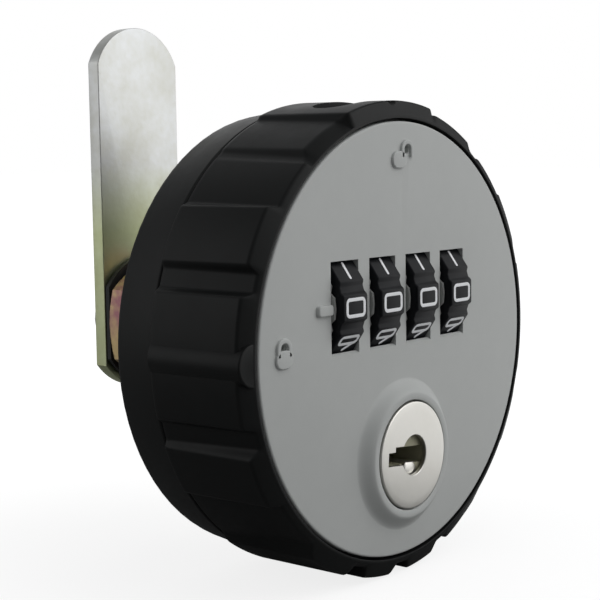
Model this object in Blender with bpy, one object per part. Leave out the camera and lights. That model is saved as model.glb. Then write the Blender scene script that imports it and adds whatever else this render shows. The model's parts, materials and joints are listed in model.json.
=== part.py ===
"""Combination locker lock with a turning grip ring, four number wheels and a master-key cylinder.

The lock's axis is Y. The front faces -Y, +Z is up, and the origin is on the axis at the back
face of the base, where the lock stands against the door. Depths named FROM_FACE are measured
backwards from the front face of the face plate. Lengths are in metres.
"""
import math

import bmesh
import bpy
from mathutils import Matrix, Vector

MM = 0.001
TOUCH = 0.0001 * MM             # vertices this close are one

# Clearances
GAP = 0.3 * MM                  # between pieces that touch or seat on each other
RUN = 0.35 * MM                 # round pieces that turn in or past others
SLOT_RUN = 0.08 * MM            # between a number wheel's side and its window

OVERRUN = 1.0 * MM              # cutters pass, and joined blocks sink into, a face by this

# Body
FACE_THICKNESS = 1.5 * MM
FACE_EDGE = 0.25 * MM           # small bevel round the face plate
FACE_SHELF = 1.4 * MM           # ring's shelf behind the face plate's rim
BASE_MARGIN = 1.95 * MM         # base beyond the face plate, at the seam
BASE_TAPER = 0.7 * MM
BASE_ROUND = 0.8 * MM           # rounded back edge of the base
BASE_WALL = 2.35 * MM
BASE_FLOOR = 2.5 * MM

# Grip ring
LIP_WIDTH = 0.3 * MM
WEB_THICKNESS = 2.0 * MM
WEB_CLEAR = 0.8 * MM            # between the seam plane and the web's front
TOP_LOBE = (0.55 * MM, 0.55 * MM, 0.5 * MM)    # rise over the base in front and behind, chamfer depth
SIDE_LOBE = (0.63 * MM, 0.58 * MM, 0.9 * MM)
LAND = (-0.3 * MM, -0.05 * MM, 1.9 * MM)
CHANNEL = (-0.8 * MM, -0.3 * MM, 1.2 * MM)
WAIST = (-0.55 * MM, 0.0, 0.4 * MM)
GROOVE = (-0.7 * MM, 0.0, 0.35 * MM)
LOBE_HALF_DEG = 17.6            # half the top lobe, and from 9 o'clock to the grooves beside it
WAIST_END_DEG = 54.8            # from 12 o'clock to the step up to a side lobe
LAND_END_DEG = 35.3
CHANNEL_DEG = 3.2
GROOVE_HALF_DEG = 2.6
WALL_DEG = 0.7                  # run of a groove's side wall
GRIP_COLUMN_DEG = 6.0           # longest run between two columns of the grip surface
REAR_CHAMFER = 0.9 * MM         # run of the lobes' rear ends down to the base
POINTER_RADIUS = 2.4 * MM
POINTER_RISE = 0.45 * MM        # above the side lobe
POINTER_FROM_FACE = 0.05 * MM
TOP_HOLE_LENGTH = 12.4 * MM
TOP_HOLE_WIDTH = 7.2 * MM
TOP_HOLE_FROM_FACE = 7.4 * MM
TOP_HOLE_DEPTH = 2.2 * MM
FULL_ROUND = 0.49               # corner radius of a round-ended outline, as a share of its height
TOP_NOTCH_RADIUS = 0.55 * MM
TOP_NOTCH_LENGTH = 2.2 * MM

# Fixing pillars between base and face plate, which run in the ring's arc slots
PILLAR_COUNT = 3
PILLAR_RADIUS = 2.9 * MM
PILLAR_FROM_CARRIER = 3.2 * MM
PILLAR_FROM_WALL = 2.0 * MM     # to the ring's inner wall
PILLAR_TOP_FROM_FACE = 9.0 * MM
BOSS_RADIUS = 2.6 * MM
FIRST_PILLAR_DEG = 90.0
RING_TURN_DEG = 90.0
BASE_SCREW_RADIUS = 1.2 * MM
BASE_SCREW_HEAD = 2.4 * MM
BASE_SCREW_HEAD_HEIGHT = 1.4 * MM
BASE_SCREW_TIP_FROM_FACE = 4.0 * MM

# Number wheels and code sleeves
DIAL_COUNT = 4
DIAL_PITCH = 7.1 * MM
DIAL_ROW_X = -0.3 * MM
DIAL_Z = 4.9 * MM
DIAL_AXLE_FROM_FACE = 5.6 * MM
WINDOW_WIDTH = 5.04 * MM
WINDOW_HEIGHT = 10.7 * MM
WINDOW_Z = 4.8 * MM
WHEEL_WIDTH = 4.45 * MM
WHEEL_FLAT = 7.0 * MM          # axis to the flat of a pad
PAD_HALF = 1.65 * MM
WHEEL_NOTCH_RADIUS = 6.5 * MM
NOTCH_HALF_DEG = 2.9
DIGITS = 10
AXLE_RADIUS = 1.2 * MM
SLEEVE_HUB_RADIUS = 2.3 * MM
DETENT_DISC_RADIUS = 6.04 * MM
DETENT_DISC_WIDTH = 0.32 * MM
DETENT_DEPTH = 0.45 * MM
DETENT_HALF_DEG = 6.5
CODE_FLANGE_RADIUS = 3.6 * MM
CODE_FLANGE_WIDTH = 0.5 * MM
GATE_DEPTH = 1.1 * MM
FINGER_WIDTH = 0.45 * MM        # along the axle
FINGER_HEIGHT = 2.0 * MM
FINGER_GAP = 0.15 * MM          # beside the code flange

# Carrier that holds the wheels
CARRIER_WALL = 1.5 * MM
CARRIER_RIM = 1.2 * MM          # top and bottom walls
CARRIER_REAR = 1.0 * MM
WHEEL_CLEAR = 0.7 * MM          # from a wheel's pad back to the rear wall
SPRING_ROOM = 1.2 * MM          # below the wheels
EAR_THICKNESS = 1.5 * MM
EAR_REACH = 5.0 * MM
EAR_HALF = 2.4 * MM
EAR_BOSS_RADIUS = 2.2 * MM
EAR_BOSS_HEIGHT = 3.0 * MM
SMALL_SCREW_RADIUS = 0.9 * MM
SMALL_SCREW_HEAD = 1.7 * MM
SMALL_SCREW_HEAD_HEIGHT = 1.2 * MM
SPRING_THICKNESS = 0.3 * MM
SPRING_STRIP_WIDTH = 2.4 * MM
SPRING_FINGER_WIDTH = 0.6 * MM
SPRING_CREST_HALF = 0.35 * MM   # flat top of a spring finger
SPRING_FLANK = (0.9 * MM, 0.75 * MM)     # run and drop from the crest to each side

# Locking comb, driven by the spiral slot in the ring's web
COMB_THICKNESS = 1.0 * MM
COMB_HALF_HEIGHT = 2.0 * MM
COMB_END = 0.6 * MM             # bar beyond its outer fingers
PEG_RADIUS = 1.2 * MM
PEG_START_X = 9.0 * MM          # from the lock's axis, at rest
LUG_HALF = 1.7 * MM

# Spindle, neck and cam
SPINDLE_SQUARE = 7.0 * MM
SPINDLE_FLANGE_RADIUS = 6.0 * MM
SPINDLE_FLANGE_THICKNESS = 1.0 * MM
SPINDLE_RADIUS = 4.0 * MM
CAM_SQUARE = 6.0 * MM
NECK_RADIUS = 6.0 * MM
NECK_FLAT = 5.3 * MM            # axis to the flats on the neck's sides
NECK_LENGTH = 21.5 * MM         # behind the base
NECK_HEAD_HALF = 8.0 * MM
NECK_HEAD_THICKNESS = 1.5 * MM
NUT_ACROSS_FLATS = 16.0 * MM
NUT_THICKNESS = 5.0 * MM
NUT_CHAMFER = 0.7 * MM
STOP_WASHER_RADIUS = 8.7 * MM
STOP_WASHER_THICKNESS = 0.65 * MM
CAM_WIDTH = 14.5 * MM
CAM_THICKNESS = 2.0 * MM
CAM_REACH = 39.3 * MM           # axis to the tip
CAM_TAIL_RADIUS = 9.3 * MM
CAM_EDGE = 0.2 * MM
LOCK_WASHER_RADIUS = 4.6 * MM
LOCK_WASHER_THICKNESS = 0.9 * MM
CAM_SCREW_RADIUS = 2.4 * MM
CAM_SCREW_HEAD = 4.4 * MM
CAM_SCREW_HEAD_HEIGHT = 2.6 * MM
CAM_SCREW_CROWN = 0.9 * MM      # rounding of the head's edge
CAM_SCREW_POINT = 0.5 * MM      # chamfer of the tip
CROSS_REACH = 0.56              # half length of a cross recess, as a share of the head's radius
CROSS_HALF = 0.12               # half width of its arms, likewise
CAM_SCREW_DEPTH = 9.0 * MM      # shank inside the spindle

# Key cylinder
KEY_Z = -13.7 * MM
KEY_FACE_RADIUS = 6.4 * MM
KEY_PROUD = 1.5 * MM
KEY_COVER = 0.5 * MM            # thickness of the bright cover
KEY_SKIRT = 0.7 * MM
PLUG_RADIUS = 4.4 * MM
BARREL_RADIUS = 6.4 * MM
BARREL_EAR_REACH = 12.6 * MM
BARREL_EAR_HALF = 2.2 * MM
BARREL_EAR_THICKNESS = 1.3 * MM
BARREL_SCREW_INSET = 2.0 * MM    # screw to the ear's end
BARREL_BOSS_HEIGHT = 1.6 * MM
BARREL_BOSS_RADIUS = 1.9 * MM
COLLAR_RADIUS = 9.8 * MM
COLLAR_CREST = 0.5 * MM         # flat top of the mound beside the key's hole
KEY_EDGE = 0.2 * MM             # small bevel round the cover
KEYHOLE_RADIUS = 2.4 * MM
KEYHOLE_X = 0.15 * MM
KEYWAY_LEFT = 4.9 * MM
KEYWAY_TOP = 1.15 * MM
KEYWAY_BOTTOM = 1.05 * MM
KEYWAY_STEP = (1.3 * MM, 0.6 * MM)
PLUG_SLOT_TOP = 0.95 * MM
PLUG_SLOT_BOTTOM = 1.05 * MM
PLUG_SLOT_RIGHT = 3.0 * MM
PLUG_SLOT_DEPTH = 8.0 * MM
KEY_PIN_RADIUS = 1.35 * MM
KEY_PIN_DROP = 2.05 * MM
KEY_PIN_LENGTH = 5.0 * MM
KEY_PIN_X = -0.2 * MM
TAIL_SQUARE = 3.2 * MM
TAIL_CAM_THICKNESS = 1.2 * MM
TAIL_CAM_REACH = 5.6 * MM
TAIL_CAM_HALF = 2.9 * MM
TAIL_CAM_CLEAR = 1.3 * MM       # from the arm back to the ring's web

# Marks moulded on the face plate
MARK_RISE = 0.5 * MM
INDEX_LENGTH = 2.6 * MM
INDEX_HEIGHT = 1.45 * MM
INDEX_CORNER = 0.35 * MM
PADLOCK_WIDTH = 2.75 * MM
PADLOCK_HEIGHT = 2.0 * MM
SHACKLE_WIDTH = 2.15 * MM
SHACKLE_BAR = 0.52 * MM
SHACKLE_RISE = 2.15 * MM        # middle of the body to the top of the shackle
CLOSED_INSET = (3.95 * MM, 0.05 * MM)    # in from the plate's rim, and up
OPEN_INSET = (-0.6 * MM, 4.55 * MM)      # across, and in from the plate's rim
OPEN_SHIFT = 1.5 * MM

ROUND_STEPS = 40                # sides of a large round
SMALL_STEPS = 20
TINY_STEPS = 12

# Sizes that follow from the ones above, from the wheels outwards and backwards
PILLAR_CIRCLE = DIAL_Z + WHEEL_FLAT + GAP + CARRIER_RIM + PILLAR_FROM_CARRIER + PILLAR_RADIUS
RING_WALL_RADIUS = PILLAR_CIRCLE + PILLAR_RADIUS + PILLAR_FROM_WALL
FACE_RADIUS = RING_WALL_RADIUS + FACE_SHELF
BASE_RADIUS = FACE_RADIUS + BASE_MARGIN
SEAM_FROM_FACE = DIAL_AXLE_FROM_FACE + WHEEL_FLAT + WHEEL_CLEAR + CARRIER_REAR + GAP - WEB_CLEAR
BODY_DEPTH = (SEAM_FROM_FACE + WEB_CLEAR + WEB_THICKNESS + GAP + SPINDLE_FLANGE_THICKNESS
              + GAP + BASE_FLOOR)
CLOSED_MARK = (CLOSED_INSET[0] - FACE_RADIUS, CLOSED_INSET[1])
OPEN_MARK = (OPEN_INSET[0], FACE_RADIUS - OPEN_INSET[1])

Y_FACE = -BODY_DEPTH
Y_FACE_BACK = Y_FACE + FACE_THICKNESS
Y_SEAM = Y_FACE + SEAM_FROM_FACE
Y_WEB = Y_SEAM + WEB_CLEAR
Y_WEB_BACK = Y_WEB + WEB_THICKNESS
Y_FLOOR = -BASE_FLOOR
Y_AXLE = Y_FACE + DIAL_AXLE_FROM_FACE
Y_CARRIER = Y_FACE_BACK + GAP
Y_CARRIER_BACK = Y_WEB - GAP
BARREL_LENGTH = Y_WEB - TAIL_CAM_CLEAR - TAIL_CAM_THICKNESS - GAP - Y_CARRIER
BARREL_SCREW_X = BARREL_EAR_REACH - BARREL_SCREW_INSET
COMB_TRAVEL = FINGER_WIDTH + 2 * FINGER_GAP + CODE_FLANGE_WIDTH
WHEEL_RADIUS = math.hypot(WHEEL_FLAT, PAD_HALF)


def clear_scene():
    for old in list(bpy.data.objects):
        bpy.data.objects.remove(old, do_unlink=True)


def make_material(name, colour, roughness, metallic=0.0):
    material = bpy.data.materials.new(name)
    material.use_nodes = True
    shader = material.node_tree.nodes["Principled BSDF"]
    shader.inputs["Base Color"].default_value = (*colour, 1.0)
    shader.inputs["Roughness"].default_value = roughness
    shader.inputs["Metallic"].default_value = metallic
    material.diffuse_color = (*colour, 1.0)
    return material


def finish_mesh(name, bm, place=(0.0, 0.0, 0.0), smooth_deg=None):
    """Turns a bmesh built about the origin into an object at its place."""
    bmesh.ops.remove_doubles(bm, verts=bm.verts[:], dist=TOUCH)
    bmesh.ops.recalc_face_normals(bm, faces=bm.faces[:])
    mesh = bpy.data.meshes.new(name)
    bm.to_mesh(mesh)
    bm.free()
    if smooth_deg:
        mesh.shade_smooth()
        mesh.set_sharp_from_angle(angle=math.radians(smooth_deg))
    piece = bpy.data.objects.new(name, mesh)
    piece.location = place
    bpy.context.scene.collection.objects.link(piece)
    return piece


def turned(name, profile, place=(0.0, 0.0, 0.0), sides=ROUND_STEPS, axis="Y"):
    """A closed profile of (radius, depth) points spun once round the Y or X axis."""
    bm = bmesh.new()
    if axis == "Y":
        points = [Vector((r, d, 0.0)) for r, d in profile]
        spin_axis = Vector((0.0, 1.0, 0.0))
    else:
        points = [Vector((d, r, 0.0)) for r, d in profile]
        spin_axis = Vector((1.0, 0.0, 0.0))
    verts = [bm.verts.new(p) for p in points]
    edges = [bm.edges.new((a, b)) for a, b in zip(verts, verts[1:] + verts[:1])
             if not (on_axis(a, axis) and on_axis(b, axis))]
    bmesh.ops.spin(bm, geom=verts + edges, cent=(0.0, 0.0, 0.0), axis=spin_axis,
                   angle=math.tau, steps=sides, use_merge=True)
    bmesh.ops.remove_doubles(bm, verts=bm.verts[:], dist=TOUCH)
    bmesh.ops.dissolve_verts(bm, verts=[v for v in bm.verts if on_axis(v, axis)])
    return finish_mesh(name, bm, place, 40)


def on_axis(vert, axis):
    return math.hypot(vert.co.z, vert.co.x if axis == "Y" else vert.co.y) < TOUCH


def extruded(name, outline, start, end, place=(0.0, 0.0, 0.0), axis="Y"):
    """A closed outline pushed along Y, or along X when the outline is in (depth, height)."""
    bm = bmesh.new()
    if axis == "Y":
        verts = [bm.verts.new((u, start, v)) for u, v in outline]
        push = Vector((0.0, end - start, 0.0))
    else:
        verts = [bm.verts.new((start, u, v)) for u, v in outline]
        push = Vector((end - start, 0.0, 0.0))
    face = bm.faces.new(verts)
    made = bmesh.ops.extrude_face_region(bm, geom=[face])
    moved = [g for g in made["geom"] if isinstance(g, bmesh.types.BMVert)]
    bmesh.ops.translate(bm, vec=push, verts=moved)
    return finish_mesh(name, bm, place)


def block(name, low, high, place=(0.0, 0.0, 0.0)):
    bm = bmesh.new()
    size = [b - a for a, b in zip(low, high)]
    middle = [(a + b) / 2 for a, b in zip(low, high)]
    matrix = Matrix.Translation(middle) @ Matrix.Diagonal((*size, 1.0))
    bmesh.ops.create_cube(bm, size=1.0, matrix=matrix)
    return finish_mesh(name, bm, place)


def rod(name, radius, start, end, place=(0.0, 0.0, 0.0), sides=SMALL_STEPS, axis="Y"):
    return turned(name, [(0.0, start), (radius, start), (radius, end), (0.0, end)],
                  place, sides, axis)


def combine(target, other, operation):
    """Adds a live Boolean whose operand is kept as a wire guide."""
    other.hide_render = True
    other.display_type = "WIRE"
    step = target.modifiers.new(other.name, "BOOLEAN")
    step.operation = operation
    step.object = other
    step.solver = "EXACT"
    return target


def cut(target, *others):
    for other in others:
        combine(target, other, "DIFFERENCE")
    return target


def join(target, *others):
    for other in others:
        combine(target, other, "UNION")
    return target


def finished(piece, material):
    piece.data.materials.clear()
    piece.data.materials.append(material)
    return piece


def arc(centre, radius, start_deg, end_deg, steps):
    """Points on an arc, both ends included."""
    cx, cz = centre
    angles = [math.radians(start_deg + (end_deg - start_deg) * i / steps) for i in range(steps + 1)]
    return [(cx + radius * math.cos(a), cz + radius * math.sin(a)) for a in angles]


def round_oblong(centre, width, height, corner, steps=4):
    """A rectangle with round corners, counter-clockwise."""
    cx, cz = centre
    dx, dz = width / 2 - corner, height / 2 - corner
    points = []
    for sx, sz, start in ((1, 1, 0), (-1, 1, 90), (-1, -1, 180), (1, -1, 270)):
        points += arc((cx + sx * dx, cz + sz * dz), corner, start, start + 90, steps)
    return points


def pillar_places():
    for i in range(PILLAR_COUNT):
        angle = math.radians(FIRST_PILLAR_DEG + 360.0 * i / PILLAR_COUNT)
        yield i + 1, (PILLAR_CIRCLE * math.cos(angle), PILLAR_CIRCLE * math.sin(angle))


def dial_places():
    """Number of each wheel and the left edge of its window."""
    for i in range(DIAL_COUNT):
        middle = DIAL_ROW_X + (i - (DIAL_COUNT - 1) / 2) * DIAL_PITCH
        yield i + 1, middle - WINDOW_WIDTH / 2


def first_window_left():
    return min(left for _, left in dial_places())


def last_window_left():
    return max(left for _, left in dial_places())


# Positions along the axle, counted from the left edge of a window
DISC_X = SLOT_RUN
WHEEL_X = WINDOW_WIDTH - SLOT_RUN - WHEEL_WIDTH
FINGER_X = WHEEL_X + WHEEL_WIDTH + FINGER_GAP
FLANGE_X = FINGER_X + FINGER_WIDTH + FINGER_GAP


def carrier_inside():
    """Left, right, bottom and top of the carrier's pocket."""
    left = first_window_left() - 2 * GAP
    right = last_window_left() + FLANGE_X + CODE_FLANGE_WIDTH + COMB_TRAVEL + 2 * GAP
    bottom = DIAL_Z - WHEEL_RADIUS - SPRING_ROOM
    top = DIAL_Z + WHEEL_RADIUS + GAP
    return left, right, bottom, top


def ear_places():
    left, right, _, _ = carrier_inside()
    yield 1, left - CARRIER_WALL - EAR_REACH / 2, -1
    yield 2, right + CARRIER_WALL + EAR_REACH / 2, 1


def grip_stations():
    """Section of the grips at angles from 12 o'clock down the left side."""
    wall = WALL_DEG
    groove = GROOVE_HALF_DEG
    beside = 90.0 - LOBE_HALF_DEG
    low = 180.0 - LOBE_HALF_DEG
    stations = [(0.0, TOP_LOBE), (LOBE_HALF_DEG - wall, TOP_LOBE), (LOBE_HALF_DEG + wall, LAND),
                (LAND_END_DEG - wall, LAND), (LAND_END_DEG + wall, CHANNEL),
                (LAND_END_DEG + CHANNEL_DEG - wall, CHANNEL), (LAND_END_DEG + CHANNEL_DEG, WAIST),
                (WAIST_END_DEG, WAIST), (WAIST_END_DEG + wall, SIDE_LOBE)]
    stations += grooved(beside, groove, wall)
    stations += grooved(180.0 - beside, groove, wall)
    stations += [(180.0 - WAIST_END_DEG - wall, SIDE_LOBE), (180.0 - WAIST_END_DEG, WAIST),
                 (180.0 - LAND_END_DEG - CHANNEL_DEG, WAIST), (180.0 - LAND_END_DEG, SIDE_LOBE)]
    stations += grooved(low, groove, wall)
    stations += [(180.0 - groove - wall, SIDE_LOBE), (180.0 - groove, GROOVE), (180.0, GROOVE)]
    return stations


def grooved(middle, half, wall):
    return [(middle - half - wall, SIDE_LOBE), (middle - half, GROOVE),
            (middle + half, GROOVE), (middle + half + wall, SIDE_LOBE)]


def grip_columns():
    """Angle and section of every column of the grip surface, all the way round."""
    half = grip_stations()
    columns = []
    for (a0, s0), (a1, s1) in zip(half, half[1:]):
        count = max(1, math.ceil((a1 - a0) / GRIP_COLUMN_DEG))
        for k in range(count):
            share = k / count
            section = tuple(p + (q - p) * share for p, q in zip(s0, s1))
            columns.append((a0 + (a1 - a0) * share, section))
    columns.append(half[-1])
    mirrored = [(360.0 - angle, section) for angle, section in reversed(columns[1:-1])]
    return columns + mirrored


def grip_ring(material):
    """Lobed grip ring with its web, moulded in one: a section lofted round the axis."""
    lip_in = FACE_RADIUS + RUN
    lip_out = lip_in + LIP_WIDTH
    web_edge = BASE_RADIUS - BASE_WALL - RUN
    shelf = Y_FACE_BACK + GAP
    bm = bmesh.new()
    loops = []
    for angle, (front_rise, rear_rise, chamfer) in grip_columns():
        turn = math.radians(90.0 + angle)
        front = BASE_RADIUS + front_rise
        rear = BASE_RADIUS + rear_rise
        section = [(RING_WALL_RADIUS, Y_WEB), (RING_WALL_RADIUS, shelf), (lip_in, shelf),
                   (lip_in, Y_FACE), (lip_out, Y_FACE), (front, Y_FACE + chamfer),
                   (rear, Y_SEAM - REAR_CHAMFER), (min(rear, BASE_RADIUS), Y_SEAM),
                   (web_edge, Y_SEAM), (web_edge, Y_WEB_BACK)]
        loops.append([bm.verts.new((r * math.cos(turn), y, r * math.sin(turn))) for r, y in section])
    for loop, after in zip(loops, loops[1:] + loops[:1]):
        for a, b, c, d in zip(loop, loop[1:], after[1:], after):
            bm.faces.new((a, b, c, d))
    bm.faces.new([loop[0] for loop in loops])
    bm.faces.new([loop[-1] for loop in loops])
    ring = finish_mesh("grip_ring", bm, smooth_deg=20)

    reach = BASE_RADIUS + SIDE_LOBE[0] + POINTER_RISE - POINTER_RADIUS
    pointer = rod("pointer_rib", POINTER_RADIUS, Y_FACE + POINTER_FROM_FACE, Y_SEAM - GAP / 3,
                  (-reach, 0.0, 0.0))
    trim = rod("pointer_trim", lip_in + LIP_WIDTH / 2, Y_FACE - GAP, Y_WEB, sides=2 * ROUND_STEPS)
    join(ring, cut(pointer, trim))

    outline = round_oblong((0.0, 0.0), TOP_HOLE_LENGTH, TOP_HOLE_WIDTH, TOP_HOLE_WIDTH * FULL_ROUND)
    top = BASE_RADIUS + TOP_LOBE[0]
    hole = extruded("top_hole", outline, top - TOP_HOLE_DEPTH, top + OVERRUN)
    hole.rotation_euler = (math.radians(90.0), 0.0, 0.0)
    hole.location = (0.0, Y_FACE + TOP_HOLE_FROM_FACE, 0.0)
    notch = rod("top_notch", TOP_NOTCH_RADIUS, Y_FACE - OVERRUN, Y_FACE + TOP_NOTCH_LENGTH,
                (0.0, 0.0, top), TINY_STEPS)
    cut(ring, hole, notch)

    half = SPINDLE_SQUARE / 2 + GAP
    cut(ring, block("web_square", (-half, Y_WEB - OVERRUN, -half), (half, Y_WEB_BACK + OVERRUN, half)))
    for number, (x, z) in pillar_places():
        cut(ring, web_slot(f"pillar_slot_{number}", math.degrees(math.atan2(z, x)),
                           PILLAR_CIRCLE, PILLAR_CIRCLE, PILLAR_RADIUS + RUN))
    cut(ring, web_slot("comb_slot", 0.0, PEG_START_X, PEG_START_X + COMB_TRAVEL, PEG_RADIUS + RUN))
    return finished(ring, material)


def web_slot(name, start_deg, start_radius, end_radius, half_width):
    """A round-ended slot through the web. A fixed peg at the start angle runs along it, and
    its radius grows evenly with the turn from start_radius to end_radius."""
    steps = SMALL_STEPS
    path = []
    for i in range(steps + 1):
        share = i / steps
        angle = math.radians(start_deg + RING_TURN_DEG * share)
        radius = start_radius + (end_radius - start_radius) * share
        path.append((radius * math.cos(angle), radius * math.sin(angle), angle))
    outer = [(x + half_width * math.cos(a), z + half_width * math.sin(a)) for x, z, a in path]
    inner = [(x - half_width * math.cos(a), z - half_width * math.sin(a)) for x, z, a in path]
    x0, z0, a0 = path[0]
    x1, z1, a1 = path[-1]
    end_cap = arc((x1, z1), half_width, math.degrees(a1), math.degrees(a1) + 180.0, 8)[1:-1]
    start_cap = arc((x0, z0), half_width, math.degrees(a0) + 180.0, math.degrees(a0) + 360.0, 8)[1:-1]
    return extruded(name, outer + end_cap + inner[::-1] + start_cap, Y_WEB - OVERRUN, Y_WEB_BACK + OVERRUN)


def back_base(material):
    """Rear case: cup with a rounded back edge and three hollow pillars."""
    rim = Y_SEAM + GAP
    inside = BASE_RADIUS - BASE_WALL
    edge_radius = BASE_RADIUS - BASE_TAPER
    edge = arc((edge_radius - BASE_ROUND, -BASE_ROUND), BASE_ROUND, 0.0, 90.0, 3)
    profile = [(0.0, Y_FLOOR), (inside, Y_FLOOR), (inside, rim), (BASE_RADIUS, rim)] + edge + [(0.0, 0.0)]
    base = turned("back_base", profile, sides=2 * ROUND_STEPS)
    top = Y_FACE + PILLAR_TOP_FROM_FACE
    for number, (x, z) in pillar_places():
        join(base, rod(f"pillar_{number}", PILLAR_RADIUS, top, Y_FLOOR + OVERRUN, (x, 0.0, z)))
    for number, (x, z) in pillar_places():
        step = BASE_SCREW_HEAD_HEIGHT + 2 * GAP
        small, large = BASE_SCREW_RADIUS + GAP, BASE_SCREW_HEAD + GAP
        bore = [(0.0, top - OVERRUN), (small, top - OVERRUN), (small, -step), (large, -step),
                (large, OVERRUN), (0.0, OVERRUN)]
        cut(base, turned(f"pillar_bore_{number}", bore, (x, 0.0, z), SMALL_STEPS))
    seat = NECK_HEAD_HALF + GAP
    floor = Y_FLOOR + NECK_HEAD_THICKNESS
    cut(base, block("neck_seat", (-seat, Y_FLOOR - OVERRUN, -seat), (seat, floor, seat)))
    cut(base, extruded("neck_hole", neck_outline(GAP), floor - OVERRUN, OVERRUN))
    return finished(base, material)


def neck_outline(grow):
    """Circle of the threaded neck with a flat on each side."""
    radius, flat = NECK_RADIUS + grow, NECK_FLAT + grow
    corner = math.degrees(math.acos(flat / radius))
    return (arc((0.0, 0.0), radius, corner, 180.0 - corner, 10)
            + arc((0.0, 0.0), radius, 180.0 + corner, 360.0 - corner, 10))


def threaded_neck(material):
    """Steel neck with a square head in the base's floor and flats along the thread."""
    head = Y_FLOOR + NECK_HEAD_THICKNESS - GAP
    half = NECK_HEAD_HALF
    neck = extruded("threaded_neck", neck_outline(0.0), head - GAP, NECK_LENGTH)
    join(neck, block("neck_head", (-half, Y_FLOOR, -half), (half, head, half)))
    bore = rod("neck_bore", SPINDLE_RADIUS + RUN, Y_FLOOR - OVERRUN, NECK_LENGTH + OVERRUN, sides=ROUND_STEPS)
    cut(neck, bore)
    return finished(neck, material)


def fixing_nut(material):
    """Hexagon nut with chamfered corners, flats to the left and right."""
    corner = NUT_ACROSS_FLATS / math.sqrt(3.0)
    outline = [(corner * math.cos(a), corner * math.sin(a))
               for a in (math.radians(30.0 + 60.0 * i) for i in range(6))]
    back = NECK_LENGTH
    front = back - NUT_THICKNESS
    nut = extruded("fixing_nut", outline, front, back)
    slope = math.tan(math.radians(30.0))
    face = NUT_ACROSS_FLATS / 2 - NUT_CHAMFER / 4
    small = face - OVERRUN / slope
    large = corner + NUT_CHAMFER
    drop = (large - face) * slope
    outside = turned("nut_chamfer", [(0.0, front - OVERRUN), (small, front - OVERRUN), (large, front + drop),
                                     (large, back - drop), (small, back + OVERRUN), (0.0, back + OVERRUN)])
    combine(nut, outside, "INTERSECT")
    cut(nut, rod("nut_bore", NECK_RADIUS + GAP, front - OVERRUN, back + OVERRUN, sides=ROUND_STEPS))
    return finished(nut, material)


def square_hole(name, side, start, end):
    half = side / 2 + GAP
    return block(name, (-half, start - OVERRUN, -half), (half, end + OVERRUN, half))


def spindle(material):
    """Spindle: square in the ring's web, flange behind it, round in the neck, square for the cam."""
    square = SPINDLE_SQUARE / 2
    flange = Y_WEB_BACK + GAP
    flange_back = flange + SPINDLE_FLANGE_THICKNESS
    shoulder = NECK_LENGTH + GAP
    end = shoulder + cam_stack_depth() - GAP
    profile = [(0.0, flange), (SPINDLE_FLANGE_RADIUS, flange), (SPINDLE_FLANGE_RADIUS, flange_back),
               (SPINDLE_RADIUS, flange_back), (SPINDLE_RADIUS, shoulder), (0.0, shoulder)]
    shaft = turned("spindle", profile)
    join(shaft, block("spindle_square", (-square, Y_WEB, -square), (square, flange + GAP, square)))
    half = CAM_SQUARE / 2
    join(shaft, block("cam_square", (-half, shoulder - OVERRUN, -half), (half, end, half)))
    cut(shaft, rod("cam_screw_hole", CAM_SCREW_RADIUS + GAP, end - CAM_SCREW_DEPTH - OVERRUN, end + OVERRUN))
    return finished(shaft, material)


def cam_stack_depth():
    """Stop washer, cam and the gaps before and after them."""
    return GAP + STOP_WASHER_THICKNESS + GAP + CAM_THICKNESS


def stop_washer(material):
    """Round washer with two flats as wide apart as the cam."""
    front = NECK_LENGTH + 2 * GAP
    corner = math.degrees(math.acos(CAM_WIDTH / 2 / STOP_WASHER_RADIUS))
    outline = (arc((0.0, 0.0), STOP_WASHER_RADIUS, corner, 180.0 - corner, 14)
               + arc((0.0, 0.0), STOP_WASHER_RADIUS, 180.0 + corner, 360.0 - corner, 14))
    washer = extruded("stop_washer", outline, front, front + STOP_WASHER_THICKNESS)
    cut(washer, square_hole("washer_square", CAM_SQUARE, front, front + STOP_WASHER_THICKNESS))
    return finished(washer, material)


def cam_front():
    return NECK_LENGTH + 2 * GAP + STOP_WASHER_THICKNESS + GAP


def cam(material):
    """Flat cam: full round tip, round tail about the axis and a square hole."""
    half = CAM_WIDTH / 2
    side = math.degrees(math.acos(half / CAM_TAIL_RADIUS))
    outline = (arc((0.0, CAM_REACH - half), half, 0.0, 180.0, 16)
               + arc((0.0, 0.0), CAM_TAIL_RADIUS, 180.0 + side, 360.0 - side, 12))
    front = cam_front()
    plate = extruded("cam", outline, front, front + CAM_THICKNESS)
    edge = plate.modifiers.new("edge", "BEVEL")
    edge.width = CAM_EDGE
    edge.segments = 1
    edge.limit_method = "ANGLE"
    edge.angle_limit = math.radians(60.0)
    cut(plate, square_hole("cam_hole", CAM_SQUARE, front, front + CAM_THICKNESS))
    return finished(plate, material)


def cam_lock_washer(material):
    front = cam_front() + CAM_THICKNESS + GAP
    inner = CAM_SCREW_RADIUS + GAP
    back = front + LOCK_WASHER_THICKNESS
    profile = [(inner, front), (LOCK_WASHER_RADIUS, front), (LOCK_WASHER_RADIUS, back), (inner, back)]
    washer = turned("cam_lock_washer", profile, sides=SMALL_STEPS)
    return finished(washer, material)


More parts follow.
